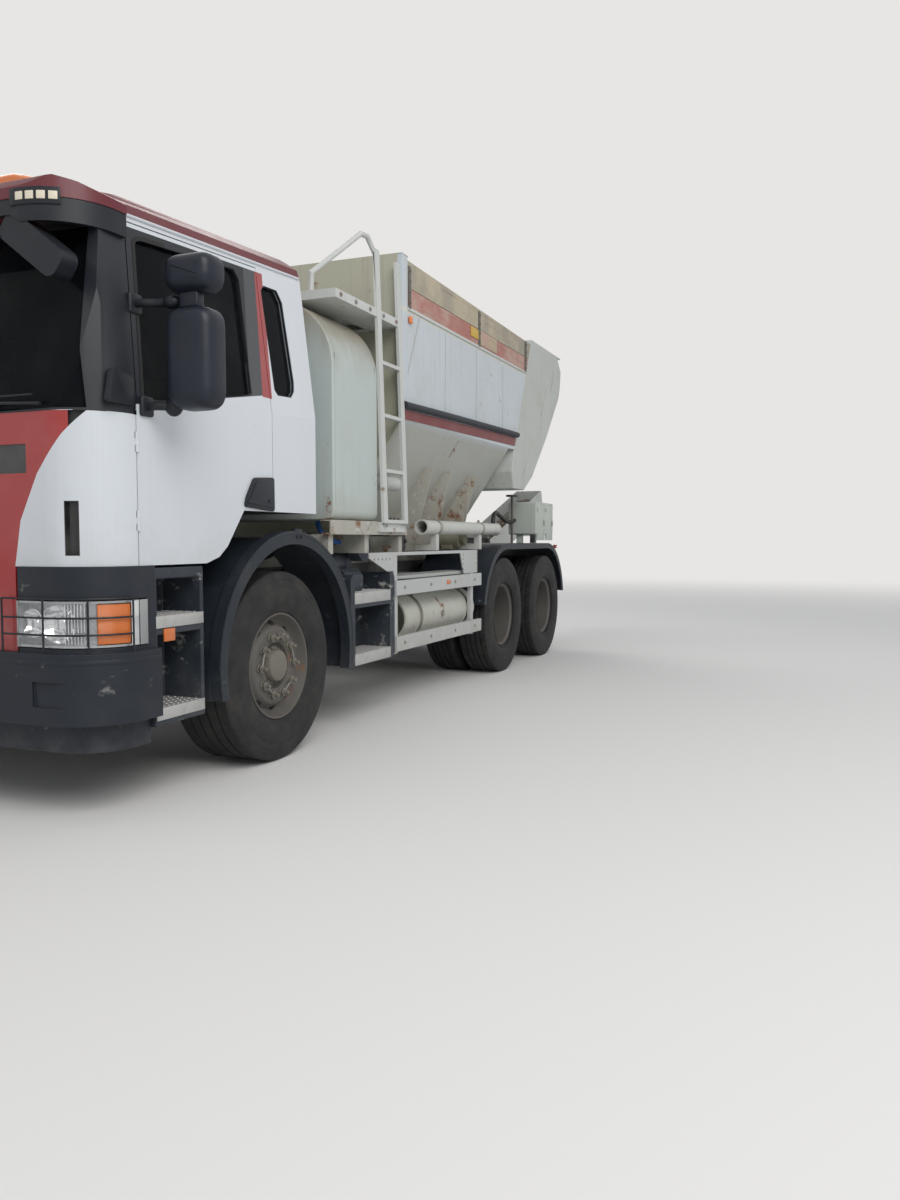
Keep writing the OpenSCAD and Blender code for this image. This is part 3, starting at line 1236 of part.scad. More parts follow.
// The cylinder lies from its pin on the slewing frame towards the trough's lugs
module at_lift() translate([slew_x + anchor_x, 0, tilt_z + anchor_z]) rotate([0, -lift_angle, 0]) children();
barrel_len = 640;
module lift_cylinder() color("#3d4148") placed() at_lift() difference() {
    union() {
        rod_y(32, 0, -30, 30, 0);
        rod_y(lift_pin_r, 0, -70, 70, 0);
        rod_x(28, 20, 110, 0, 0);
        rod_x(barrel_r, 100, barrel_len, 0, 0);
    }
    rod_x(rod_r + run_gap, barrel_len - 450, barrel_len + 1, 0, 0);
}
module lift_rod() color("#b7bbbf") placed() at_lift() {
    rod_x(rod_r, barrel_len - 330, lift_len - 20, 0, 0);
    rod_y(32, lift_len, -30, 30, 0);
    rod_y(lift_pin_r, lift_len, -66, 66, 0);
    both_sides() rod_y(44, lift_len, 53, 62, 0);
}

chassis_frame();
slew_bracket();
engine_block();
drive_line();
front_axle();
rear_axles();
cab_shell();
cab_roof();
sun_visor();
cab_glass();
front_grille();
corner_panels();
front_bumper();
headlamps();
entry_steps();
front_fenders();
beacon_bar();
seats();
dashboard();
battery_box();
fuel_tank();
side_guards();
air_tank();
rear_fenders();
tail_lamps();
water_tank();
mixer_subframe();
ladder_platform();
aggregate_hopper();
side_boards();
conveyor_belt();
cement_bin();
control_box();
stowed_pipe();
water_pump();
door_left();
door_glass_left();
mirror_left();
door_right();
door_glass_right();
mirror_right();
knuckle_left();
knuckle_right();
tyre_front_left();
rim_front_left();
tyre_front_right();
rim_front_right();
tyres_mid_left();
rims_mid_left();
tyres_mid_right();
rims_mid_right();
tyres_rear_left();
rims_rear_left();
tyres_rear_right();
rims_rear_right();
slew_frame();
auger_trough();
mixing_screw();
lift_cylinder();
lift_rod();
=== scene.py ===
"""Looks of the volumetric concrete mixer truck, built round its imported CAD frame.

Lengths are metres. Places along X are measured from the front axle, as in the part's source, and
Form.piece() moves each finished mesh into the frame. The truck's left side is at -Y, and Z is up.
"""

from __future__ import annotations

import json
import logging
import math
from dataclasses import dataclass
from enum import Enum
from typing import Callable, Iterable, Sequence

import bmesh
import bpy
from mathutils import Matrix, Vector

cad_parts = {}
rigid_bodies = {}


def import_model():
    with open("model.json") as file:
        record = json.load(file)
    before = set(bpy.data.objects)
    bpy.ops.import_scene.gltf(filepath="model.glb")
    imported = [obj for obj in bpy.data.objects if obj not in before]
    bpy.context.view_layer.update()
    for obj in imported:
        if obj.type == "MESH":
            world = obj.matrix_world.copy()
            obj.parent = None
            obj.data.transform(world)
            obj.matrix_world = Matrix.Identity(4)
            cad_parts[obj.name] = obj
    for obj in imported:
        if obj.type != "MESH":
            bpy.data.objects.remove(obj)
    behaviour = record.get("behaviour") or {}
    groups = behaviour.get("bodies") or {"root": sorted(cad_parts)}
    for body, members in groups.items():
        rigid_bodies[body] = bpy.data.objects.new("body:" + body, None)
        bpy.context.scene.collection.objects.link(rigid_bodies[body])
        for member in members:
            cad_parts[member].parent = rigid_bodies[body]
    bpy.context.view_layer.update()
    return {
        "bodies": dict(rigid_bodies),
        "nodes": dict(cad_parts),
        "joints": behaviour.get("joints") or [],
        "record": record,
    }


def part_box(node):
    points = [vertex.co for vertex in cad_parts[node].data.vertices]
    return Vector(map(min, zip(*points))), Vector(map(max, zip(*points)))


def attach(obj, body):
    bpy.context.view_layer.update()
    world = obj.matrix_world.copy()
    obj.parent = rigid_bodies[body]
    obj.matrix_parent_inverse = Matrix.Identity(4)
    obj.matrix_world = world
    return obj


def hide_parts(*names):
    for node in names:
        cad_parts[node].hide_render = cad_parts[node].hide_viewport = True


LOG = logging.getLogger("mixer_truck")
Point = Sequence[float]
Colour = tuple[float, float, float]

CHASSIS = "chassis"
ROUGHEST = 0.95  # no finish is rougher
STUD_CIRCLE = 0.1675  # radius on which the wheel nuts sit
BEVEL_ANGLE = math.radians(20.0)  # edges sharper than this are rounded
BEVEL_SHARE = 2.2  # a block's least side over the largest bevel that it takes
CORNER_SHARE = 2.02  # an outline's side over the most that one rounded corner takes of it
WELD_DISTANCE = 0.00005  # vertices nearer than this become one


class Side(Enum):
    """The two sides of the truck; the value is the sign of Y."""

    LEFT = -1
    RIGHT = 1

    @property
    def word(self) -> str:
        """The side's name as the CAD nodes spell it."""
        return self.name.lower()


# --------------------------------------------------------------------------- materials


class Value:
    """A socket that carries a number, with arithmetic that adds Math nodes."""

    def __init__(self, kit: "MaterialKit", socket: bpy.types.NodeSocket) -> None:
        """Wraps a socket.

        Args:
            kit: the material that the socket belongs to.
            socket: an output socket that carries a number.
        """
        self.kit = kit
        self.socket = socket

    def _math(self, operation: str, *others: "Value | float") -> "Value":
        """Adds a Math node whose first value is this socket.

        Args:
            operation: the Math node's operation.
            others: its other values.

        Returns:
            The node's result.
        """
        node = self.kit.node("ShaderNodeMath", {"operation": operation}, dict(enumerate((self, *others))))
        return Value(self.kit, node.outputs[0])

    def __add__(self, other: "Value | float") -> "Value":
        """Sum."""
        return self._math("ADD", other)

    __radd__ = __add__

    def __sub__(self, other: "Value | float") -> "Value":
        """Difference."""
        return self._math("SUBTRACT", other)

    def __rsub__(self, other: float) -> "Value":
        """Difference with a plain number first."""
        return self._math("MULTIPLY_ADD", -1.0, other)

    def __mul__(self, other: "Value | float") -> "Value":
        """Product."""
        return self._math("MULTIPLY", other)

    __rmul__ = __mul__

    def __or__(self, other: "Value | float") -> "Value":
        """The larger of two masks."""
        return self._math("MAXIMUM", other)

    def __and__(self, other: "Value | float") -> "Value":
        """The smaller of two masks."""
        return self._math("MINIMUM", other)

    def above(self, limit: "Value | float") -> "Value":
        """1 where this is more than a limit, else 0."""
        return self._math("GREATER_THAN", limit)

    def below(self, limit: "Value | float") -> "Value":
        """1 where this is less than a limit, else 0."""
        return self._math("LESS_THAN", limit)

    def between(self, low: "Value | float", high: "Value | float") -> "Value":
        """1 where this lies between two limits, else 0."""
        return self.above(low) & self.below(high)

    def root(self) -> "Value":
        """The square root."""
        return self._math("SQRT")

    def size(self) -> "Value":
        """The number without its sign."""
        return self._math("ABSOLUTE")

    def rise(self, low: float, high: float) -> "Value":
        """A smooth step from 0 at low to 1 at high; it falls where low is above high."""
        node = self.kit.node("ShaderNodeMapRange", {"interpolation_type": "SMOOTHSTEP", "clamp": True},
                             {"Value": self, "From Min": min(low, high), "From Max": max(low, high),
                              "To Min": 0.0 if low < high else 1.0, "To Max": 1.0 if low < high else 0.0})
        return Value(self.kit, node.outputs[0])


def feed(tree: bpy.types.NodeTree, socket: bpy.types.NodeSocket, value: object) -> None:
    """Links an input to a socket or a Value, or gives it a number or a colour."""
    if isinstance(value, Value):
        value = value.socket
    if isinstance(value, bpy.types.NodeSocket):
        tree.links.new(value, socket)
    else:
        socket.default_value = (*value[:3], 1.0) if socket.type == "RGBA" else value


def add_node(tree: bpy.types.NodeTree, kind: str, settings: dict | None = None,
             values: dict | None = None) -> bpy.types.Node:
    """Adds one node.

    Args:
        tree: the tree that takes it.
        kind: the node's type.
        settings: its properties, set first.
        values: what each input takes: a number, a colour, a socket or a Value.

    Returns:
        The new node.
    """
    made = tree.nodes.new(kind)
    for key, value in (settings or {}).items():
        setattr(made, key, value)
    for key, value in (values or {}).items():
        feed(tree, made.inputs[key], value)
    return made


class MaterialKit:
    """One procedural material and the means to wire it."""

    def __init__(self, name: str) -> None:
        """Starts a material with a Principled shader.

        Args:
            name: the material's name.
        """
        self.material = bpy.data.materials.new(name)
        self.material.use_nodes = True
        self.tree = self.material.node_tree
        self.tree.nodes.clear()
        self.out = self.node("ShaderNodeOutputMaterial")
        self.shader = self.node("ShaderNodeBsdfPrincipled")
        self.tree.links.new(self.shader.outputs[0], self.out.inputs[0])
        self.object_point = self.node("ShaderNodeTexCoord").outputs["Object"]
        self._axes: dict[str, Value] = {}
        self.matt: Value | None = None

    def node(self, kind: str, settings: dict | None = None, values: dict | None = None) -> bpy.types.Node:
        """Adds one node to this material; see add_node()."""
        return add_node(self.tree, kind, settings, values)

    def axis(self, letter: str) -> Value:
        """One coordinate of the object's own space: x is measured from the truck's middle."""
        if not self._axes:
            split = self.node("ShaderNodeSeparateXYZ", values={0: self.object_point})
            self._axes = {key: Value(self, split.outputs[i]) for i, key in enumerate("xyz")}
        return self._axes[letter]

    def from_axle(self) -> Value:
        """The place along the truck, measured from the front axle."""
        return self.axis("x") + Form.mid_x

    def stretched(self, scale: Point) -> bpy.types.NodeSocket:
        """The object's point with each axis scaled, for streaks and grain."""
        made = self.node("ShaderNodeMapping", values={"Vector": self.object_point, "Scale": tuple(scale)})
        return made.outputs[0]

    def noise(self, scale: float, detail: float = 4.0, rough: float = 0.55,
              stretch: Point | None = None) -> Value:
        """Fractal noise, about 0.5 on average.

        Args:
            scale: features in a metre.
            detail: octaves.
            rough: strength of the fine octaves.
            stretch: scale of each axis, where the pattern is drawn out.

        Returns:
            The noise.
        """
        point = self.stretched(stretch) if stretch else self.object_point
        made = self.node("ShaderNodeTexNoise", values={
            "Vector": point, "Scale": scale, "Detail": detail, "Roughness": rough})
        return Value(self, made.outputs[0])

    def mix(self, first: object, second: object, factor: "Value | float") -> bpy.types.NodeSocket:
        """A colour between two colours.

        Args:
            first: the colour where factor is 0.
            second: the colour where factor is 1.
            factor: the mask.

        Returns:
            The mixed colour.
        """
        made = self.node("ShaderNodeMix", {"data_type": "RGBA", "clamp_factor": True},
                         {0: factor, 6: first, 7: second})
        return made.outputs[2]

    def bumps(self, height: Value, depth: float, strength: float = 1.0) -> None:
        """Feeds the shader's normal from a height.

        Args:
            height: 0 to 1.
            depth: the height of 1, in metres.
            strength: how much of it shows.
        """
        made = self.node("ShaderNodeBump", values={"Height": height, "Distance": depth, "Strength": strength})
        self.set(Normal=made.outputs[0])

    def set(self, **values: object) -> None:
        """Feeds the shader's inputs; an underscore stands for a space."""
        for key, value in values.items():
            feed(self.tree, self.shader.inputs[key.replace("_", " ")], value)


@dataclass(frozen=True)
class Finish:
    """A finish that can make its material once."""

    name: str

    def material(self) -> bpy.types.Material:
        """The finish's material, made at its first use."""
        known = bpy.data.materials.get(f"look_{self.name}")
        if known:
            return known
        kit = MaterialKit(f"look_{self.name}")
        self.wire(kit)
        return kit.material

    def wire(self, kit: MaterialKit) -> None:
        """Builds the nodes; each kind of finish has its own."""
        raise NotImplementedError


DUST: Colour = (0.40, 0.37, 0.32)
CEMENT: Colour = (0.55, 0.54, 0.50)
RUST_DARK: Colour = (0.115, 0.045, 0.020)
RUST_LIGHT: Colour = (0.30, 0.13, 0.05)


@dataclass(frozen=True)
class Paint(Finish):
    """Painted metal with dust, vertical dirt streaks, rust and dried cement."""

    colour: Colour = (0.7, 0.7, 0.7)
    rough: float = 0.38
    coat: float = 0.0
    metallic: float = 0.0
    dust: float = 0.25
    dust_top: float = 0.0
    streaks: float = 0.2
    rust: float = 0.0
    cement: float = 0.0
    dirt: Colour = DUST
    wave: float = 0.0

    def base(self, kit: MaterialKit) -> bpy.types.NodeSocket:
        """The paint's own colour, a little uneven."""
        return kit.mix(tuple(c * 0.90 for c in self.colour), tuple(min(1.0, c * 1.07) for c in self.colour),
                       kit.noise(1.3, 3.0))

    def wire(self, kit: MaterialKit) -> None:
        """Layers the dirt over the paint from the cleanest to the dirtiest."""
        colour = self.base(kit)
        rough = kit.noise(9.0, 5.0) * 0.16 + (self.rough - 0.08)
        cloud = kit.noise(2.6, 8.0, 0.62)
        if self.dust > 0:
            mask = cloud.rise(0.42, 0.78) * self.dust
            if self.dust_top > 0:
                mask = mask | (kit.axis("z").rise(self.dust_top, 0.25) * kit.noise(7.0, 7.0, 0.6).rise(0.25, 0.7))
            if kit.matt:
                mask = mask * (1.0 - kit.matt * 0.8)
            colour = kit.mix(colour, self.dirt, mask)
            rough = rough + mask * 0.35
        if self.streaks > 0:
            run = kit.noise(1.0, 6.0, 0.66, (17.0, 17.0, 0.75)).rise(0.50, 0.78)
            run = run * kit.noise(1.4, 4.0, 0.6).rise(0.35, 0.66) * self.streaks
            colour = kit.mix(colour, tuple(c * 0.45 for c in self.dirt), run)
            rough = rough + run * 0.25
        if self.rust > 0:
            patch = (kit.noise(6.5, 9.0, 0.68) + kit.noise(1.0, 4.0, 0.5, (9.0, 9.0, 0.8)) * 0.35)
            mask = patch.rise(0.90 - 0.28 * self.rust, 1.00 - 0.22 * self.rust)
            tint = kit.mix(RUST_DARK, RUST_LIGHT, kit.noise(40.0, 4.0))
            colour = kit.mix(colour, tint, mask)
            rough = rough + mask * 0.4
        if self.cement > 0:
            mask = kit.noise(24.0, 6.0, 0.6).rise(0.66 - 0.10 * self.cement, 0.70 - 0.08 * self.cement)
            colour = kit.mix(colour, CEMENT, mask * 0.85)
            rough = rough + mask * 0.35
        coat: Value | float = self.coat
        if kit.matt:
            coat = (1.0 - kit.matt) * self.coat
            rough = rough + kit.matt * 0.16
        kit.set(Base_Color=colour, Roughness=rough & ROUGHEST, Metallic=self.metallic,
                Coat_Weight=coat, Coat_Roughness=0.08)
        fine = kit.noise(160.0, 3.0) * 0.35 + kit.noise(5.0, 3.0) * (0.65 + self.wave)
        kit.bumps(fine, 0.0008 + 0.004 * self.wave, 0.35)


@dataclass(frozen=True)
class CabSidePaint(Paint):
    """The cab's paint: white, with black window frames, a red strip behind each door and a dark inside.

    The ends are the rear edges of frame, post and strip, each a slope and a shift: x = slope * z + shift.
    """

    ends: tuple[tuple[float, float], ...] = ((0.0985, -0.445), (0.0866, -0.306), (0.0597, -0.160))
    black: Colour = (0.010, 0.013, 0.019)
    grey: Colour = (0.060, 0.064, 0.072)
    red: Colour = (0.30, 0.012, 0.016)
    inside: Colour = (0.030, 0.030, 0.032)

    def base(self, kit: MaterialKit) -> bpy.types.NodeSocket:
        """Masks by place: x from the front axle, z from the ground."""
        x, z, out = kit.from_axle(), kit.axis("z"), kit.axis("y").size()
        rail = x * 0.0625 + 2.716
        above_waist = z.above(x * 0.1777 + 2.050)
        frame_end, post_end, strip_end = (z * slope + shift for slope, shift in self.ends)
        frame = above_waist & z.below(rail) & x.below(frame_end)
        pillar = z.between(1.80, rail) & x.below(-1.148)
        post = above_waist & z.below(rail) & x.between(frame_end, post_end)
        strip = z.between(2.02, rail) & x.between(post_end, strip_end)
        within = out.below(z.rise(1.85, 2.67) * -0.100 + 1.172) & x.between(-1.385, 0.372)
        colour = kit.mix(super().base(kit), self.grey, post)
        colour = kit.mix(colour, self.red, strip)
        colour = kit.mix(colour, self.inside, within)
        kit.matt = frame | pillar | post | within
        return kit.mix(colour, self.black, frame | pillar)


@dataclass(frozen=True)
class HopperPaint(Paint):
    """The hopper's paint: pale sides with a light rim edge, a front wall painted darker beige as painted shade, a
    darker inside, and a foot painted darker as painted shade.
    """

    # front and foot are painted shade; lining makes the inside darker
    front: Colour = (0.43, 0.425, 0.335)
    foot: Colour = (0.44, 0.45, 0.41)
    edge: Colour = (0.62, 0.63, 0.58)
    lining: Colour = (0.36, 0.35, 0.32)

    def base(self, kit: MaterialKit) -> bpy.types.NodeSocket:
        """Masks by place: x from the front axle, z from the ground."""
        x, z, out = kit.from_axle(), kit.axis("z"), kit.axis("y").size()
        # painted shade: darker on the foot that slopes down, away from the sky
        colour = kit.mix(super().base(kit), self.foot, z.rise(2.14, 2.06))
        colour = kit.mix(colour, self.edge, z.between(2.872, 2.905))
        # painted shade: the front wall, behind the tank and the platform, is darker beige
        colour = kit.mix(colour, self.front, x.below(1.640) & out.below(1.19))
        # darker inside the hopper
        inside = out.below(1.205) & x.above(1.618) & z.above(2.14)
        return kit.mix(colour, self.lining, inside)


@dataclass(frozen=True)
class TankPaint(Paint):
    """The water tank's paint, stained brown over its crown and paler at its foot."""

    stain: Colour = (0.27, 0.215, 0.145)
    pale: Colour = (0.40, 0.40, 0.34)

    def base(self, kit: MaterialKit) -> bpy.types.NodeSocket:
        """The stain runs down from the top in uneven tongues."""
        z = kit.axis("z")
        runs = kit.noise(1.0, 6.0, 0.66, (7.0, 7.0, 1.1)) * 0.42
        crown = (z + runs).rise(2.46, 2.90) * 0.80
        foot = (z - runs).rise(1.36, 1.16) * 0.5
        colour = kit.mix(super().base(kit), self.stain, crown)
        return kit.mix(colour, self.pale, foot)


@dataclass(frozen=True)
class PanelPaint(Paint):
    """A front panel whose openings are painted dark, as painted shade.

    Each opening is its front x, its least and largest y, and its lowest and highest z.
    """

    openings: tuple[tuple[float, float, float, float, float], ...] = ()
    # painted shade: the colour of every opening's walls
    hollow: Colour = (0.010, 0.010, 0.012)

    def base(self, kit: MaterialKit) -> bpy.types.NodeSocket:
        """The walls of every opening are painted dark, as painted shade."""
        x, z, out = kit.from_axle(), kit.axis("z"), kit.axis("y").size()
        colour = super().base(kit)
        for front, inner, outer, low, high in self.openings:
            within = x.above(front) & out.between(inner, outer) & z.between(low, high)
            # painted shade: the walls behind the panel's face take the dark colour
            colour = kit.mix(colour, self.hollow, within)
        return colour


@dataclass(frozen=True)
class Moulded(Finish):
    """Grained plastic or rubber with dust in its grain and pale scuffs."""

    colour: Colour = (0.03, 0.035, 0.042)
    rough: float = 0.55
    grain: float = 420.0
    dust: float = 0.25
    cement: float = 0.0
    low: float = 0.0
    powder: Colour = (0.100, 0.100, 0.100)
    scuffed: Colour = (0.13, 0.13, 0.13)

    def wire(self, kit: MaterialKit) -> None:
        """Dust gathers in clouds, more of it near the road where low is given."""
        cloud = kit.noise(3.2, 8.0, 0.62).rise(0.40, 0.80) * self.dust
        if self.low > 0:
            cloud = cloud | (kit.axis("z").rise(self.low, 0.2) * kit.noise(8.0, 7.0, 0.62).rise(0.28, 0.75) * 0.7)
        scuff = kit.noise(1.0, 7.0, 0.66, (9.0, 9.0, 40.0)).rise(0.66, 0.72) * 0.22
        colour = kit.mix(self.colour, tuple(c * 1.6 + 0.004 for c in self.colour), kit.noise(1.7, 3.0))
        colour = kit.mix(colour, self.scuffed, scuff)
        colour = kit.mix(colour, self.powder, cloud)
        if self.cement > 0:
            spots = kit.noise(38.0, 7.0, 0.66).rise(0.72 - 0.08 * self.cement, 0.78 - 0.06 * self.cement)
            drawn = kit.noise(1.0, 8.0, 0.70, (7.0, 7.0, 11.0))
            smear = drawn.rise(0.64 - 0.07 * self.cement, 0.76 - 0.07 * self.cement)
            colour = kit.mix(colour, CEMENT, (spots | smear) * (0.30 + 0.4 * self.cement))
        kit.set(Base_Color=colour, Roughness=cloud * 0.3 + self.rough, Specular_IOR_Level=0.32)
        kit.bumps(kit.noise(self.grain, 2.0), 0.0006, 0.5)


@dataclass(frozen=True)
class Metal(Finish):
    """Bare or plated metal, brushed, dulled and spotted."""

    colour: Colour = (0.6, 0.6, 0.6)
    rough: float = 0.35
    metallic: float = 1.0
    grime: float = 0.3
    rust: float = 0.0

    def wire(self, kit: MaterialKit) -> None:
        """Dull clouds and brush lines over the metal."""
        cloud = kit.noise(9.0, 8.0, 0.65).rise(0.45, 0.8) * self.grime
        colour = kit.mix(self.colour, tuple(c * 0.5 for c in DUST), cloud)
        metallic = 1.0 - cloud
        rough = kit.noise(1.0, 4.0, 0.5, (4.0, 60.0, 60.0)) * 0.14 + self.rough + cloud * 0.4
        if self.rust > 0:
            mask = kit.noise(14.0, 9.0, 0.7).rise(0.62 - 0.2 * self.rust, 0.72 - 0.15 * self.rust)
            colour = kit.mix(colour, kit.mix(RUST_DARK, RUST_LIGHT, kit.noise(60.0, 3.0)), mask)
            metallic = metallic * (1.0 - mask)
            rough = rough + mask * 0.4
        kit.set(Base_Color=colour, Metallic=metallic * self.metallic, Roughness=rough & ROUGHEST)
        kit.bumps(kit.noise(220.0, 3.0), 0.0003, 0.4)


@dataclass(frozen=True)
class Glass(Finish):
    """Window glass: mostly seen by what it mirrors, with a little dust low down."""

    tint: Colour = (0.006, 0.008, 0.010)
    alpha: float = 0.80
    ior: float = 1.14
    film: float = 0.03

    def wire(self, kit: MaterialKit) -> None:
        """A dark glossy sheet that lets some of the cab show."""
        film = kit.noise(4.0, 6.0, 0.6).rise(0.45, 0.85) * self.film
        kit.set(Base_Color=kit.mix(self.tint, DUST, film), Roughness=film + 0.03,
                Alpha=film + self.alpha, IOR=self.ior)


@dataclass(frozen=True)
class Lens(Finish):
    """Lamp plastic with fine ribs behind it."""

    colour: Colour = (0.8, 0.8, 0.8)
    ribs: float = 90.0
    glow: float = 0.0

    def wire(self, kit: MaterialKit) -> None:
        """Ribs by bump, a thin film of dust by colour."""
        film = kit.noise(9.0, 6.0).rise(0.45, 0.9) * 0.25
        kit.set(Base_Color=kit.mix(self.colour, DUST, film), Roughness=film * 0.5 + 0.08,
                Coat_Weight=0.6, Coat_Roughness=0.05)
        if self.glow > 0:
            kit.set(Emission_Color=self.colour, Emission_Strength=self.glow)
        wave = kit.node("ShaderNodeTexWave", {"bands_direction": "Z"},
                        {"Vector": kit.object_point, "Scale": self.ribs})
        kit.bumps(Value(kit, wave.outputs["Fac"]), 0.0012, 0.5)


@dataclass(frozen=True)
class Tread(Finish):
    """Tyre rubber: dark on the sidewalls, brown-grey dust on the tread and in its lines."""

    dusty: float = 0.42
    dark: Colour = (0.011, 0.012, 0.014)
    light: Colour = (0.022, 0.023, 0.025)
    powder: Colour = (0.086, 0.079, 0.069)

    def wire(self, kit: MaterialKit) -> None:
        """Dust and scuffs; both stay in place when the wheel turns because they read the mesh's own space."""
        cloud = kit.noise(7.0, 8.0, 0.66).rise(0.30, 0.80) * self.dusty
        scuffs = kit.noise(26.0, 7.0, 0.7).rise(0.55, 0.75) * 0.22
        colour = kit.mix(self.dark, self.light, kit.noise(2.0, 3.0))
        colour = kit.mix(colour, self.powder, cloud | scuffs)
        kit.set(Base_Color=colour, Roughness=cloud * 0.15 + 0.72, Specular_IOR_Level=0.3)
        kit.bumps(kit.noise(240.0, 4.0, 0.7), 0.0009, 0.6)


@dataclass(frozen=True)
class Boards(Finish):
    """Weathered plywood sides: pink-red film below, bare beige boards above."""

    lower: Colour = (0.43, 0.20, 0.17)
    upper: Colour = (0.50, 0.44, 0.33)
    split_z: float = 3.053
    worn_lower: Colour = (0.50, 0.34, 0.29)
    worn_upper: Colour = (0.36, 0.33, 0.27)
    grained: Colour = (0.20, 0.13, 0.09)
    ends: Colour = (0.33, 0.31, 0.27)

    def wire(self, kit: MaterialKit) -> None:
        """Grain runs along the truck; the two boards meet at split_z."""
        grain = kit.noise(1.0, 7.0, 0.62, (1.6, 30.0, 42.0))
        high = kit.axis("z").rise(self.split_z - 0.002, self.split_z + 0.002)
        worn = kit.noise(2.2, 8.0, 0.66).rise(0.42, 0.62)
        lower = kit.mix(self.lower, self.worn_lower, worn)
        upper = kit.mix(self.upper, self.worn_upper, worn)
        colour = kit.mix(lower, upper, high)
        colour = kit.mix(colour, self.grained, grain.rise(0.55, 0.72) * 0.5)
        colour = kit.mix(colour, self.ends, kit.axis("y").size().rise(1.203, 1.200))
        kit.set(Base_Color=colour, Roughness=0.82, Specular_IOR_Level=0.3)
        kit.bumps(grain, 0.0022, 0.6)


CAB_GLOSS = {"colour": (0.62, 0.655, 0.70), "rough": 0.30, "coat": 0.7, "dust": 0.10, "dust_top": 1.55,
             "streaks": 0.05}


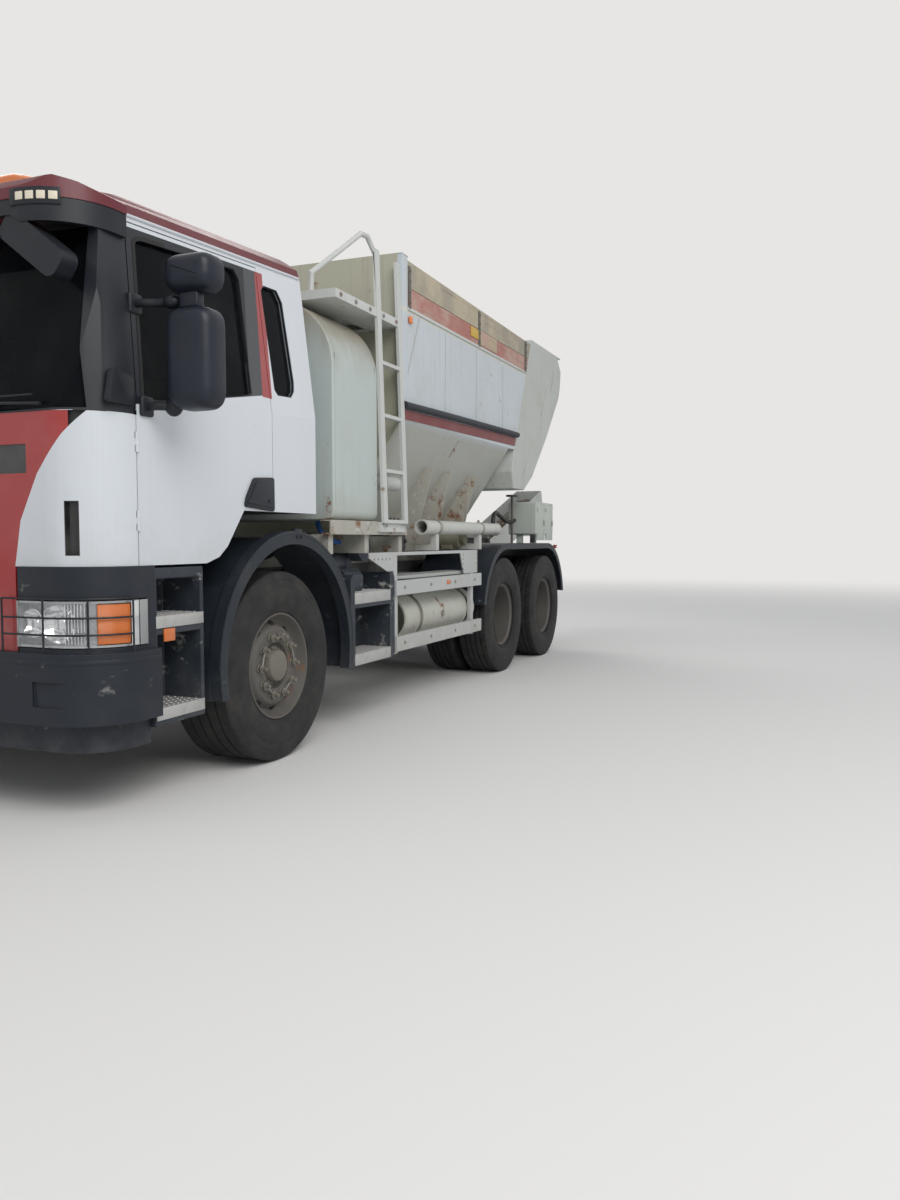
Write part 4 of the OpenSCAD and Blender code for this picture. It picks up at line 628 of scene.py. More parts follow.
class Finishes:
    """Every finish of the truck, named for where it is used."""

    CAB_WHITE = Paint("cab_white_gloss", **CAB_GLOSS)
    CAB_SIDE = CabSidePaint("cab_side_gloss", **CAB_GLOSS)
    # CORNER and PANEL_RED paint the walls of their openings dark, as painted shade.
    CORNER = PanelPaint("cab_corner_gloss", openings=((-1.50, 1.032, 1.088, 1.177, 1.413),), **CAB_GLOSS)
    CAB_MAROON = Paint("cab_roof_maroon", (0.120, 0.012, 0.021), 0.42, coat=0.05, dust=0.06, streaks=0.04)
    PANEL_RED = PanelPaint("front_panel_red", (0.34, 0.014, 0.014), 0.30, coat=0.7, dust=0.12, dust_top=1.1,
                           streaks=0.05, openings=((-1.4145, -1.0, 2.0, 1.533, 1.662),
                                                   (-1.4180, -1.0, 0.642, 1.03, 1.52)))
    BUMPER = Moulded("bumper_plastic", (0.009, 0.012, 0.018), 0.46, dust=0.11, low=0.5, cement=0.15)
    FENDER = Moulded("fender_plastic", (0.010, 0.014, 0.020), 0.46, dust=0.20, low=0.7, cement=0.1)
    STEP_BOX = Moulded("step_box_plastic", (0.018, 0.024, 0.033), 0.50, dust=0.32, low=1.0, cement=0.9)
    TRIM = Moulded("black_trim", (0.009, 0.011, 0.015), 0.42, dust=0.07)
    MIRROR = Moulded("mirror_housing", (0.009, 0.012, 0.020), 0.38, dust=0.06)
    SEAL = Moulded("rubber_seal", (0.010, 0.010, 0.011), 0.60, dust=0.08)
    INSIDE = Moulded("cab_inside", (0.035, 0.034, 0.035), 0.75, dust=0.15)
    WINDOW = Glass("window_glass", alpha=0.70)
    CLEAR = Lens("lamp_clear", (0.62, 0.66, 0.70), ribs=60.0)
    AMBER = Lens("lamp_amber", (0.62, 0.145, 0.015))
    ORANGE = Lens("beacon_orange", (0.85, 0.20, 0.02), ribs=120.0)
    RED_LENS = Lens("lamp_red", (0.35, 0.012, 0.012))
    LED = Lens("led_pearl", (0.62, 0.56, 0.44), ribs=200.0, glow=0.25)
    CHROME = Metal("chrome_trim", (0.72, 0.73, 0.75), 0.10, grime=0.15)
    BOLT = Metal("bolt_zinc", (0.42, 0.41, 0.39), 0.42, grime=0.5, rust=0.35)
    TREAD_PLATE = Metal("step_tread_alloy", (0.52, 0.52, 0.51), 0.42, metallic=0.7, grime=0.45)
    FRAME = Paint("chassis_paint", (0.040, 0.042, 0.046), 0.55, dust=0.6, streaks=0.1, rust=0.25)
    AXLE = Paint("axle_paint", (0.055, 0.052, 0.048), 0.6, dust=0.75, streaks=0.1, rust=0.3)
    ENGINE = Paint("engine_paint", (0.19, 0.19, 0.18), 0.55, dust=0.5, rust=0.2)
    RIM = Paint("rim_paint", (0.098, 0.092, 0.084), 0.60, dust=0.55, streaks=0.0, rust=0.45,
                dirt=(0.130, 0.112, 0.092))
    HUB = Paint("hub_paint", (0.150, 0.140, 0.115), 0.60, dust=0.6, streaks=0.0, rust=0.35,
                dirt=(0.25, 0.235, 0.19))
    GUARD = Paint("guard_rail_alloy", (0.52, 0.535, 0.53), 0.42, metallic=0.25, dust=0.35, dust_top=0.7,
                  streaks=0.2)
    GALVANISED = Paint("galvanised_plate", (0.50, 0.51, 0.49), 0.45, metallic=0.35, dust=0.5, streaks=0.25,
                       rust=0.35)
    TANK = TankPaint("water_tank_paint", (0.48, 0.545, 0.530), 0.42, dust=0.22, streaks=0.35, rust=0.25, wave=0.35)
    BODY = HopperPaint("mixer_body_paint", (0.55, 0.60, 0.64), 0.42, dust=0.28, streaks=0.35, rust=0.35, wave=0.15)
    LADDER = Paint("ladder_paint", (0.56, 0.58, 0.56), 0.45, dust=0.3, streaks=0.2, rust=0.35)
    # The subframe is darker: dirt, and painted shade under the mixer body.
    SUBFRAME = Paint("subframe_paint", (0.42, 0.41, 0.36), 0.58, dust=0.65, streaks=0.65, rust=0.62, cement=0.5)
    BIN = Paint("cement_bin_paint", (0.50, 0.525, 0.495), 0.45, dust=0.35, streaks=0.5, rust=0.35, cement=0.2)
    BOX = Paint("control_box_paint", (0.50, 0.54, 0.50), 0.45, dust=0.35, streaks=0.4, rust=0.3)
    PIPE = Paint("pipe_paint", (0.56, 0.57, 0.54), 0.45, dust=0.45, streaks=0.2, rust=0.2)
    AIR_TANK = Paint("air_tank_paint", (0.52, 0.53, 0.47), 0.5, dust=0.55, streaks=0.35, rust=0.6, cement=0.5)
    AUGER = Paint("auger_paint", (0.50, 0.52, 0.50), 0.5, dust=0.45, streaks=0.5, rust=0.45, cement=1.0)
    SCREW = Metal("screw_steel", (0.34, 0.33, 0.31), 0.42, grime=0.8, rust=0.5)
    CYLINDER = Paint("cylinder_black", (0.03, 0.032, 0.035), 0.4, dust=0.35, rust=0.15)
    ROD = Metal("rod_chrome", (0.72, 0.73, 0.74), 0.08, grime=0.05)
    PUMP = Paint("pump_blue_black", (0.045, 0.055, 0.085), 0.5, dust=0.4, rust=0.3)
    MOTOR = Paint("motor_khaki", (0.27, 0.26, 0.19), 0.55, dust=0.5, rust=0.3)
    BELT = Moulded("belt_rubber", (0.020, 0.020, 0.020), 0.7, dust=0.6, cement=0.6)
    HOSE = Moulded("hose_rubber", (0.014, 0.014, 0.015), 0.5, dust=0.35)
    BLUE_HOSE = Moulded("hose_blue", (0.015, 0.08, 0.28), 0.45, dust=0.25)
    ROLL = Moulded("cover_roll", (0.022, 0.026, 0.033), 0.62, dust=0.35)
    STRIPE = Paint("side_stripe_maroon", (0.175, 0.020, 0.026), 0.45, dust=0.2, streaks=0.15)
    YELLOW = Paint("yellow_plate", (0.62, 0.40, 0.04), 0.5, dust=0.35, streaks=0.3)
    BOARD = Boards("side_board_wood")
    PLY = Boards("pale_plywood", (0.50, 0.42, 0.30), (0.52, 0.46, 0.34))
    SEAT = Moulded("seat_cloth", (0.030, 0.030, 0.036), 0.9, grain=900.0, dust=0.1)
    RUBBER = Tread("tyre_rubber")
    LAMP_BACK = Metal("lamp_housing_silver", (0.42, 0.43, 0.44), 0.32, grime=0.1)
    REFLECTOR = Metal("lamp_reflector", (0.85, 0.86, 0.87), 0.06, grime=0.0)
    LENS = Glass("lamp_lens_clear", (0.80, 0.83, 0.85), 0.14, 1.25, 0.15)
    PLATE_GLASS = Metal("mirror_plate", (0.80, 0.82, 0.84), 0.03, grime=0.05)
    CLIP = Metal("nut_clip_steel", (0.34, 0.33, 0.30), 0.40, grime=0.35, rust=0.1)
    BRACKET = Paint("bracket_grey", (0.11, 0.105, 0.095), 0.55, dust=0.5, streaks=0.2, rust=0.5)


# --------------------------------------------------------------------------- meshes


class Form:
    """A mesh being shaped with bmesh operators, with X measured from the front axle."""

    mid_x: float = 0.0

    def __init__(self) -> None:
        """Starts an empty mesh."""
        self.bm = bmesh.new()

    def _bevel(self, faces: Iterable[bmesh.types.BMFace], size: float, segments: int) -> None:
        """Rounds every edge of some faces that is sharper than BEVEL_ANGLE."""
        edges = {edge for face in faces for edge in face.edges
                 if len(edge.link_faces) == 2 and edge.calc_face_angle(0.0) > BEVEL_ANGLE}
        if size > 0 and edges:
            bmesh.ops.bevel(self.bm, geom=list(edges), offset=size, offset_type="OFFSET", segments=segments,
                            profile=0.5, affect="EDGES", material=-1, clamp_overlap=True)

    def box(self, low: Point, high: Point, bevel: float = 0.003, segments: int = 2) -> "Form":
        """Adds a block.

        Args:
            low: its lowest corner.
            high: its highest corner.
            bevel: radius of its edges.
            segments: faces across each radius.

        Returns:
            This form.
        """
        size = Vector(high) - Vector(low)
        return self.turned_box((Vector(high) + Vector(low)) / 2, size, Matrix.Identity(4), bevel, segments)

    def turned_box(self, centre: Point, size: Point, turn: Matrix, bevel: float = 0.003,
                   segments: int = 2) -> "Form":
        """Adds a block turned about its centre by a 4x4 matrix."""
        made = bmesh.ops.create_cube(self.bm, size=1.0, matrix=Matrix.Translation(centre) @ turn
                                     @ Matrix.Diagonal((*size, 1.0)))
        faces = {face for vert in made["verts"] for face in vert.link_faces}
        self._bevel(faces, min(bevel, min(size) / BEVEL_SHARE), segments)
        return self

    def prism(self, outline: Sequence[Point], place: Callable[[float, float, float], Point],
              start: float, end: float, bevel: float = 0.0, segments: int = 2) -> "Form":
        """Adds an outline drawn out from start to end.

        Args:
            outline: points (u, v).
            place: gives a point from u, v and the place along the draw.
            start: first end.
            end: other end.
            bevel: radius of the edges.
            segments: faces across each radius.

        Returns:
            This form.
        """
        verts = [self.bm.verts.new(place(u, v, start)) for u, v in outline]
        face = self.bm.faces.new(verts)
        made = bmesh.ops.extrude_face_region(self.bm, geom=[face])
        moved = [item for item in made["geom"] if isinstance(item, bmesh.types.BMVert)]
        shift = Vector(place(0.0, 0.0, end)) - Vector(place(0.0, 0.0, start))
        bmesh.ops.translate(self.bm, vec=shift, verts=moved)
        faces = {f for vert in (*verts, *moved) for f in vert.link_faces}
        bmesh.ops.recalc_face_normals(self.bm, faces=list(faces))
        self._bevel(faces, bevel, segments)
        return self

    def across(self, outline: Sequence[Point], y0: float, y1: float, bevel: float = 0.0) -> "Form":
        """Adds an outline of (x, z) points, drawn out along Y."""
        return self.prism(outline, lambda u, v, w: (u, w, v), y0, y1, bevel)

    def along(self, outline: Sequence[Point], x0: float, x1: float, bevel: float = 0.0) -> "Form":
        """Adds an outline of (y, z) points, drawn out along X."""
        return self.prism(outline, lambda u, v, w: (w, u, v), x0, x1, bevel)

    def rod(self, start: Point, end: Point, radius: float, radius_end: float | None = None,
            sides: int = 24, bevel: float = 0.0) -> "Form":
        """Adds a round bar or a cone.

        Args:
            start: middle of the first end.
            end: middle of the other end.
            radius: radius at start.
            radius_end: radius at end, or the same.
            sides: faces round it.
            bevel: radius of the end edges.

        Returns:
            This form.
        """
        a, b = Vector(start), Vector(end)
        turn = (b - a).to_track_quat("Z", "Y").to_matrix().to_4x4()
        made = bmesh.ops.create_cone(
            self.bm, cap_ends=True, cap_tris=False, segments=sides, radius1=radius,
            radius2=radius if radius_end is None else radius_end, depth=(b - a).length,
            matrix=Matrix.Translation((a + b) / 2) @ turn)
        if bevel > 0:
            caps = {f for vert in made["verts"] for f in vert.link_faces if len(f.verts) > 4}
            self._bevel(caps, bevel, 2)
        return self

    def lathe(self, profile: Sequence[Point], centre: Point, axis: Point, steps: int = 64) -> "Form":
        """Spins a profile of (radius, place along the axis) points.

        Args:
            profile: the points, in order.
            centre: the point on the axis where the place is 0.
            axis: the direction of the axis.
            steps: faces round the whole turn.

        Returns:
            This form.
        """
        line = Vector(axis).normalized()
        out = line.orthogonal().normalized()
        middle = Vector(centre)
        verts = [self.bm.verts.new(middle + out * r + line * h) for r, h in profile]
        edges = [self.bm.edges.new(pair) for pair in zip(verts, verts[1:])]
        bmesh.ops.spin(self.bm, geom=[*verts, *edges], cent=middle, axis=line, angle=math.tau,
                       steps=steps, use_merge=True, use_normal_flip=False, use_duplicate=False)
        return self

    def pipe(self, points: Sequence[Point], radius: float, sides: int = 12, smooth: int = 6) -> "Form":
        """Adds a round tube along a smooth line.

        Args:
            points: places that the line passes.
            radius: the tube's radius.
            sides: faces round it.
            smooth: steps between two places; 0 keeps the corners.

        Returns:
            This form.
        """
        line = spline(points, smooth) if smooth else [Vector(p) for p in points]
        rings = []
        side = (line[1] - line[0]).orthogonal()
        for index, place in enumerate(line):
            ahead = (line[min(index + 1, len(line) - 1)] - line[max(index - 1, 0)]).normalized()
            side = (side - ahead * side.dot(ahead)).normalized()
            up = ahead.cross(side)
            turns = [2 * math.pi * k / sides for k in range(sides)]
            rings.append([place + (side * math.cos(a) + up * math.sin(a)) * radius for a in turns])
        return self.loft(rings)

    def _loops(self, rings: Sequence[Sequence[Point]]) -> list[list[bmesh.types.BMEdge]]:
        """Makes each ring's closed loop of edges."""
        loops = []
        for ring in rings:
            verts = [self.bm.verts.new(p) for p in ring]
            loops.append([self.bm.edges.new((a, b)) for a, b in zip(verts, [*verts[1:], verts[0]])])
        return loops

    def loft(self, rings: Sequence[Sequence[Point]]) -> "Form":
        """Adds a closed form through rings that have the same number of points.

        Args:
            rings: the rings, each a closed outline.

        Returns:
            This form.
        """
        loops = self._loops(rings)
        for first, second in zip(loops, loops[1:]):
            bmesh.ops.bridge_loops(self.bm, edges=[*first, *second])
        for loop in (loops[0], loops[-1]):
            bmesh.ops.contextual_create(self.bm, geom=loop)
        return self

    def ball(self, centre: Point, size: Point, rings: int = 12) -> "Form":
        """Adds an ellipsoid given by its three radii."""
        bmesh.ops.create_uvsphere(self.bm, u_segments=rings * 2, v_segments=rings, radius=1.0,
                                  matrix=Matrix.Translation(centre) @ Matrix.Diagonal((*size, 1.0)))
        return self

    def bolts(self, places: Iterable[Point], axis: Point, radius: float = 0.012, height: float = 0.010,
              washer: bool = True) -> "Form":
        """Adds hexagon bolt heads.

        Args:
            places: where each head sits.
            axis: the way the heads face.
            radius: a head's radius.
            height: a head's height.
            washer: whether each has a washer.

        Returns:
            This form.
        """
        way = Vector(axis).normalized()
        for place in places:
            seat = Vector(place)
            if washer:
                self.rod(seat - way * 0.001, seat + way * 0.003, radius * 1.45, sides=16)
            self.rod(seat, seat + way * height, radius, sides=6)
            self.rod(seat, seat + way * height * 1.35, radius * 0.5, sides=8)
        return self

    def hoop(self, rings: Sequence[Sequence[Point]]) -> "Form":
        """Adds a closed hoop: the last ring joins the first."""
        loops = self._loops(rings)
        for first, second in zip(loops, [*loops[1:], loops[0]]):
            bmesh.ops.bridge_loops(self.bm, edges=[*first, *second])
        return self

    def studs(self, first: Point, pitch: Point, counts: tuple[int, int], top: float,
              radii: tuple[float, float] = (0.0085, 0.006), sides: int = 8) -> "Form":
        """Adds the raised buttons of a tread.

        Args:
            first: foot of the first button.
            pitch: distance of two buttons along X and along Y.
            counts: how many there are along X and along Y.
            top: height of their tops.
            radii: a button's radius at its foot and at its top.
            sides: faces round each.

        Returns:
            This form.
        """
        for i in range(counts[0]):
            for j in range(counts[1]):
                x, y = first[0] + i * pitch[0], first[1] + j * pitch[1]
                self.rod((x, y, first[2]), (x, y, top), *radii, sides)
        return self

    def side_band(self, outline: Sequence[Vector], width: float, proud: float, sunk: float = 0.004) -> "Form":
        """Adds a flat frame on the cab's leaning left side.

        Args:
            outline: its outer edge as (x, z) points.
            width: how far it reaches inwards.
            proud: how far it stands out of the side.
            sunk: how far it goes into the side.

        Returns:
            This form.
        """
        inner = inset(outline, width)
        return self.hoop([[(p.x, -(side_at(p.y) + out), p.y) for p in points]
                          for points, out in ((outline, -sunk), (outline, proud), (inner, proud), (inner, -sunk))])

    def wall(self, corner: Point, radius: float, start: float, end: float, z0: float, z1: float,
             thick: float, bevel: float = 0.0) -> "Form":
        """Adds an upright wall that follows a front corner.

        Args:
            corner: the middle of the round part.
            radius: the wall's outer radius there.
            start: where it starts, as bow() counts.
            end: where it ends.
            z0: its foot.
            z1: its head.
            thick: its thickness.
            bevel: radius of its edges.

        Returns:
            This form.
        """
        steps = 12
        places = sorted({start, end, *[k / steps for k in range(steps + 1) if start < k / steps < end]})
        outline = [bow(corner, radius, p) for p in places]
        outline += [bow(corner, radius - thick, p) for p in reversed(places)]
        return self.prism(outline, lambda u, v, w: (u, v, w), z0, z1, bevel)

    def pad(self, centre: Point, size: Point, turn: Matrix, pull: float = 0.05) -> "Form":
        """Adds a stuffed pad: crowned, its sides drawn in between the corners.

        Args:
            centre: its middle.
            size: its three sides.
            turn: how it is turned.
            pull: how far a side's middle is drawn in, as a part of the side.

        Returns:
            This form.
        """
        place = Matrix.Translation(centre) @ turn
        steps, around = 14, 56
        rings = []
        for j in range(1, steps):
            rise = math.pi * (j / steps - 0.5)
            high = math.copysign(abs(math.sin(rise)) ** 0.62, rise)
            wide = math.cos(rise) ** 0.30
            ring = []
            for k in range(around):
                c, s = math.cos(math.tau * k / around), math.sin(math.tau * k / around)
                u, v = math.copysign(abs(c) ** 0.36, c), math.copysign(abs(s) ** 0.36, s)
                ring.append(place @ Vector((u * (1 - pull * (1 - v * v)) * wide * size[0] / 2,
                                            v * (1 - pull * (1 - u * u)) * wide * size[1] / 2, high * size[2] / 2)))
            rings.append(ring)
        return self.loft(rings)

    def both_sides(self) -> "Form":
        """Adds the mirror image across the truck's middle."""
        made = bmesh.ops.duplicate(self.bm, geom=[*self.bm.verts, *self.bm.edges, *self.bm.faces])
        verts = [item for item in made["geom"] if isinstance(item, bmesh.types.BMVert)]
        faces = [item for item in made["geom"] if isinstance(item, bmesh.types.BMFace)]
        bmesh.ops.scale(self.bm, vec=(1.0, -1.0, 1.0), verts=verts)
        bmesh.ops.reverse_faces(self.bm, faces=faces)
        return self

    def mirrored(self, side: Side) -> "Form":
        """Puts a form that was made for the left onto a side."""
        if side is Side.RIGHT:
            bmesh.ops.scale(self.bm, vec=(1.0, -1.0, 1.0), verts=self.bm.verts)
            bmesh.ops.reverse_faces(self.bm, faces=self.bm.faces)
        return self

    def piece(self, name: str, body: str, slot: str, finish: Finish, crease: float = 32.0,
              replaces: Sequence[str] = (), closed: bool = True) -> bpy.types.Object:
        """Makes the object, at the origin with its place in its mesh.

        Args:
            name: the piece's name.
            body: the CAD body that it rides on.
            slot: not used.
            finish: its finish.
            crease: edges sharper than this, in degrees, stay sharp.
            replaces: CAD nodes that it stands for.
            closed: whether its normals can be worked out from its shape.

        Returns:
            The object.
        """
        bmesh.ops.translate(self.bm, vec=(-Form.mid_x, 0.0, 0.0), verts=self.bm.verts)
        if closed:
            bmesh.ops.recalc_face_normals(self.bm, faces=self.bm.faces)
        mesh = bpy.data.meshes.new(name)
        self.bm.to_mesh(mesh)
        self.bm.free()
        return settle(bpy.data.objects.new(name, mesh), body, finish, crease, replaces)

    def fix(self, name: str, slot: str, finish: Finish, **how: object) -> bpy.types.Object:
        """Makes a piece that rides on the chassis; see piece()."""
        return self.piece(name, CHASSIS, slot, finish, **how)


def moved(place: Point) -> Vector:
    """A place measured from the front axle, in the frame's own coordinates."""
    return Vector(place) - Vector((Form.mid_x, 0.0, 0.0))


def spline(points: Sequence[Point], steps: int) -> list[Vector]:
    """Points of a smooth line through given places.

    Args:
        points: the places.
        steps: steps between two places.

    Returns:
        The points of a Catmull-Rom line.
    """
    p = [Vector(q) for q in points]
    p = [p[0] * 2 - p[1], *p, p[-1] * 2 - p[-2]]
    line: list[Vector] = []
    for a, b, c, d in zip(p, p[1:], p[2:], p[3:]):
        for i in range(steps):
            t = i / steps
            line.append(0.5 * (2 * b + (c - a) * t + (2 * a - 5 * b + 4 * c - d) * t * t
                               + (3 * b - a - 3 * c + d) * t ** 3))
    return [*line, p[-2]]


def settle(obj: bpy.types.Object, body: str, finish: Finish, crease: float,
           replaces: Sequence[str] = ()) -> bpy.types.Object:
    """Links, shades, paints and hangs a new object on its body.

    Args:
        obj: the object.
        body: the CAD body that it rides on.
        finish: its finish.
        crease: edges sharper than this, in degrees, stay sharp.
        replaces: CAD nodes that it stands for.

    Returns:
        The object.
    """
    bpy.context.scene.collection.objects.link(obj)
    obj.data.materials.clear()
    obj.data.materials.append(finish.material())
    obj.data.shade_smooth()
    obj.data.set_sharp_from_angle(angle=math.radians(crease))
    if replaces:
        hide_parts(*replaces)
    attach(obj, body)
    LOG.info("%s rides on %s, %d faces", obj.name, body, len(obj.data.polygons))
    return obj


def by_node(rows: Iterable[tuple]) -> dict:
    """Turns rows of a value and its node names into a look-up by node name."""
    return {name: value for value, names in rows for name in names.split()}


NODE_FINISHES = by_node((
    (Finishes.FRAME, "chassis_frame slew_bracket"),
    (Finishes.ENGINE, "engine_block"),
    (Finishes.AXLE, "drive_line front_axle rear_axles knuckle_left knuckle_right"),
    (Finishes.CAB_SIDE, "cab_shell door_left door_right"),
    (Finishes.CAB_MAROON, "cab_roof"),
    (Finishes.TRIM, "sun_visor"),
    (Finishes.WINDOW, "cab_glass door_glass_left door_glass_right"),
    (Finishes.PANEL_RED, "front_grille"),
    (Finishes.CORNER, "corner_panels"),
    (Finishes.BUMPER, "front_bumper"),
    (Finishes.CLEAR, "headlamps"),
    (Finishes.STEP_BOX, "entry_steps battery_box"),
    (Finishes.FENDER, "front_fenders rear_fenders"),
    (Finishes.ORANGE, "beacon_bar"),
    (Finishes.SEAT, "seats"),
    (Finishes.INSIDE, "dashboard"),
    (Finishes.MIRROR, "mirror_left mirror_right"),
    (Finishes.GUARD, "fuel_tank side_guards"),
    (Finishes.AIR_TANK, "air_tank"),
    (Finishes.RED_LENS, "tail_lamps"),
    (Finishes.TANK, "water_tank"),
    (Finishes.SUBFRAME, "mixer_subframe"),
    (Finishes.LADDER, "ladder_platform"),
    (Finishes.BODY, "aggregate_hopper"),
    (Finishes.BOARD, "side_boards"),
    (Finishes.BELT, "conveyor_belt"),
    (Finishes.BIN, "cement_bin"),
    (Finishes.BOX, "control_box"),
    (Finishes.PIPE, "stowed_pipe"),
    (Finishes.PUMP, "water_pump"),
    (Finishes.AUGER, "slew_frame auger_trough"),
    (Finishes.SCREW, "mixing_screw"),
    (Finishes.CYLINDER, "lift_cylinder"),
    (Finishes.ROD, "lift_rod"),
))
SOFT_EDGES = by_node((
    (0.002, "ladder_platform"),
    (0.003, "side_guards"),
    (0.005, "corner_panels"),
    (0.006, "front_grille door_left door_right rear_fenders control_box"),
    (0.008, "entry_steps front_fenders cab_shell fuel_tank"),
    (0.010, "battery_box water_tank cement_bin cab_roof"),
    (0.012, "front_bumper"),
    (0.015, "dashboard"),
    (0.018, "sun_visor"),
    (0.020, "beacon_bar"),
))


@dataclass
class CadSkin:
    """The CAD nodes that stay in sight, their finishes, and the few that get softened edges."""

    frame: dict

    def dress(self) -> None:
        """Paints every CAD node, and stands rounded copies in for the softened ones."""
        for name, obj in self.frame["nodes"].items():
            finish = NODE_FINISHES.get(name) or (Finishes.RUBBER if name.startswith("tyre") else Finishes.RIM)
            for slot in obj.material_slots:
                slot.material = finish.material()
            if not obj.material_slots:
                obj.data.materials.append(finish.material())
            if name in SOFT_EDGES:
                self.round_off(name, obj, finish, SOFT_EDGES[name])

    def round_off(self, name: str, node: bpy.types.Object, finish: Finish, radius: float) -> bpy.types.Object:
        """Stands a copy with rounded edges in for a node.

        Args:
            name: the node's name.
            node: its object.
            finish: its finish.
            radius: radius of the edges.

        Returns:
            The copy.
        """
        bm = bmesh.new()
        bm.from_mesh(node.data)
        bmesh.ops.remove_doubles(bm, verts=bm.verts, dist=WELD_DISTANCE)
        bmesh.ops.dissolve_limit(bm, angle_limit=math.radians(1.0), verts=bm.verts, edges=bm.edges)
        mesh = bpy.data.meshes.new(f"{name}_skin")
        bm.to_mesh(mesh)
        bm.free()
        obj = bpy.data.objects.new(f"{name}_skin", mesh)
        row = self.frame["record"]
        body = next(key for key, nodes in row["behaviour"]["bodies"].items() if name in nodes)
        settle(obj, body, finish, 30.0, [name])
        bevel = obj.modifiers.new("edges", "BEVEL")
        bevel.width = radius
        bevel.segments = 3
        bevel.limit_method = "ANGLE"
        bevel.angle_limit = math.radians(34.0)
        bevel.use_clamp_overlap = True
        bevel.harden_normals = True
        return obj


# --------------------------------------------------------------------------- wheels


def on_face(centre: Point, side: Side, radius: float, degrees: float, out: float) -> Vector:
    """A point on a wheel's face.

    Args:
        centre: the face's middle.
        side: the truck's side.
        radius: distance from the middle.
        degrees: the angle round it.
        out: how far the point stands out of the face.

    Returns:
        The point.
    """
    angle = math.radians(degrees)
    return Vector((centre[0] + radius * math.cos(angle), centre[1] + side.value * out,
                   centre[2] + radius * math.sin(angle)))


def wheel_nuts(form: Form, centre: Point, side: Side, layers: Sequence[tuple]) -> None:
    """Adds ten wheel nuts.

    Args:
        form: the form that takes them.
        centre: the middle of the wheel's face.
        side: the truck's side.
        layers: washer, nut and stud end, each with its two ends, radius, sides and bevel.
    """
    for degrees in range(0, 360, 36):
        for start, end, radius, sides, bevel in layers:
            form.rod(on_face(centre, side, STUD_CIRCLE, degrees, start),
                     on_face(centre, side, STUD_CIRCLE, degrees, end), radius, sides=sides, bevel=bevel)


@dataclass
class Wheel:
    """A tyre with its tread, and the fasteners of its rim; twin tyres share one piece."""

    body: str
    tyre_node: str
    x: float
    y: float
    diameter: float
    width: float
    side: Side
    twin: float = 0.0
    rim_r: float = 0.286
    disc: float = -0.1465
    blocks: int = 0

    def build(self) -> None:
        """Makes the tyre and what is bolted to the rim."""
        self.tyre()
        self.nuts()

    def profile(self) -> list[Point]:
        """Section of the tyre from bead to bead, with its grooves, as (radius, place across)."""
        r, s, w = self.diameter / 2, self.rim_r, self.width
        h, b = r - s, self.width * 0.385
        wall = [(s + 0.001, b - 0.002), (s + 0.017, b - 0.001), (s + 0.0175, b + 0.012), (s + 0.026, b + 0.020),
                (s + 0.030, w * 0.435), (s + h * 0.22, w * 0.463), (s + h * 0.24, w * 0.470),
                (s + h * 0.30, w * 0.484), (s + h * 0.42, w * 0.4965), (s + h * 0.52, w * 0.4985),
                (s + h * 0.60, w * 0.496), (s + h * 0.62, w * 0.490), (s + h * 0.64, w * 0.494),
                (s + h * 0.78, w * 0.480), (s + h * 0.80, w * 0.472), (s + h * 0.82, w * 0.474),
                (r - 0.030, w * 0.456), (r - 0.012, w * 0.440), (r - 0.004, w * 0.418)]
        ribs = 5
        land = w * 0.80 / ribs
        tread: list[Point] = []
        for k in range(ribs):
            near = w * 0.40 - land * k
            far = near - land
            crown = 0.006 * (1 - abs((near + far) / 2) / (w * 0.4))
            top = r - 0.006 + crown
            tread += [(top, near - 0.005), (top, far + 0.005)]
            if k < ribs - 1:
                tread += [(top - 0.014, far + 0.003), (top - 0.014, far - 0.003)]
        return [*wall, *tread, *[(q, -p) for q, p in reversed(wall)]]

    def tyre(self) -> None:
        """Spins the section, and raises the lugs on it."""
        axis = (0.0, self.side.value, 0.0)
        rings = (0.0, -self.twin) if self.twin else (0.0,)
        section = self.profile()
        form = Form()
        for shift in rings:
            centre = (self.x, self.side.value * (self.y + shift), self.diameter / 2)
            form.lathe([*section, section[0]], centre, axis, steps=112)
            self.lugs(form, centre)
        form.piece(self.tyre_node + "_tread", self.body, "tyre_rubber", Finishes.RUBBER, 26.0, [self.tyre_node])

    def lugs(self, form: Form, centre: Point) -> None:
        """Adds shoulder lugs and the sipes' blocks round the tread."""
        if not self.blocks:
            return
        r, w = self.diameter / 2, self.width
        turn = math.tau / self.blocks
        before = set(form.bm.faces)
        for band, offset in ((0.36, 0.0), (-0.36, 0.5), (0.16, 0.5), (-0.16, 0.0)):
            spin = Matrix.Rotation(turn * offset, 4, "Y")
            shoulder = abs(band) > 0.3
            size = (turn * r * 0.62, w * (0.13 if shoulder else 0.12), 0.007)
            place = Vector(centre) + spin @ Vector((0.0, band * w, r - 0.0035 - (0.002 if shoulder else 0.0)))
            form.turned_box(place, size, spin, 0.0015)
        added = [face for face in form.bm.faces if face not in before]
        verts = {vert for face in added for vert in face.verts}
        edges = {edge for face in added for edge in face.edges}
        bmesh.ops.spin(form.bm, geom=[*verts, *edges, *added], cent=centre, axis=(0.0, 1.0, 0.0),
                       steps=self.blocks - 1, angle=turn * (self.blocks - 1), use_duplicate=True, use_merge=False)

    def nuts(self) -> None:
        """Adds the nuts of twin wheels, with washers and stud ends; FrontRim has its own."""
        if not self.twin:
            return
        centre = (self.x, self.side.value * (self.y + self.disc), self.diameter / 2)
        form = Form()
        wheel_nuts(form, centre, self.side, ((-0.002, 0.007, 0.0265, 24, 0.002), (0.006, 0.034, 0.0185, 6, 0.0015),
                                             (0.030, 0.052, 0.0105, 14, 0.002)))
        form.piece(f"{self.body}_nuts", self.body, "rim_paint", Finishes.HUB)


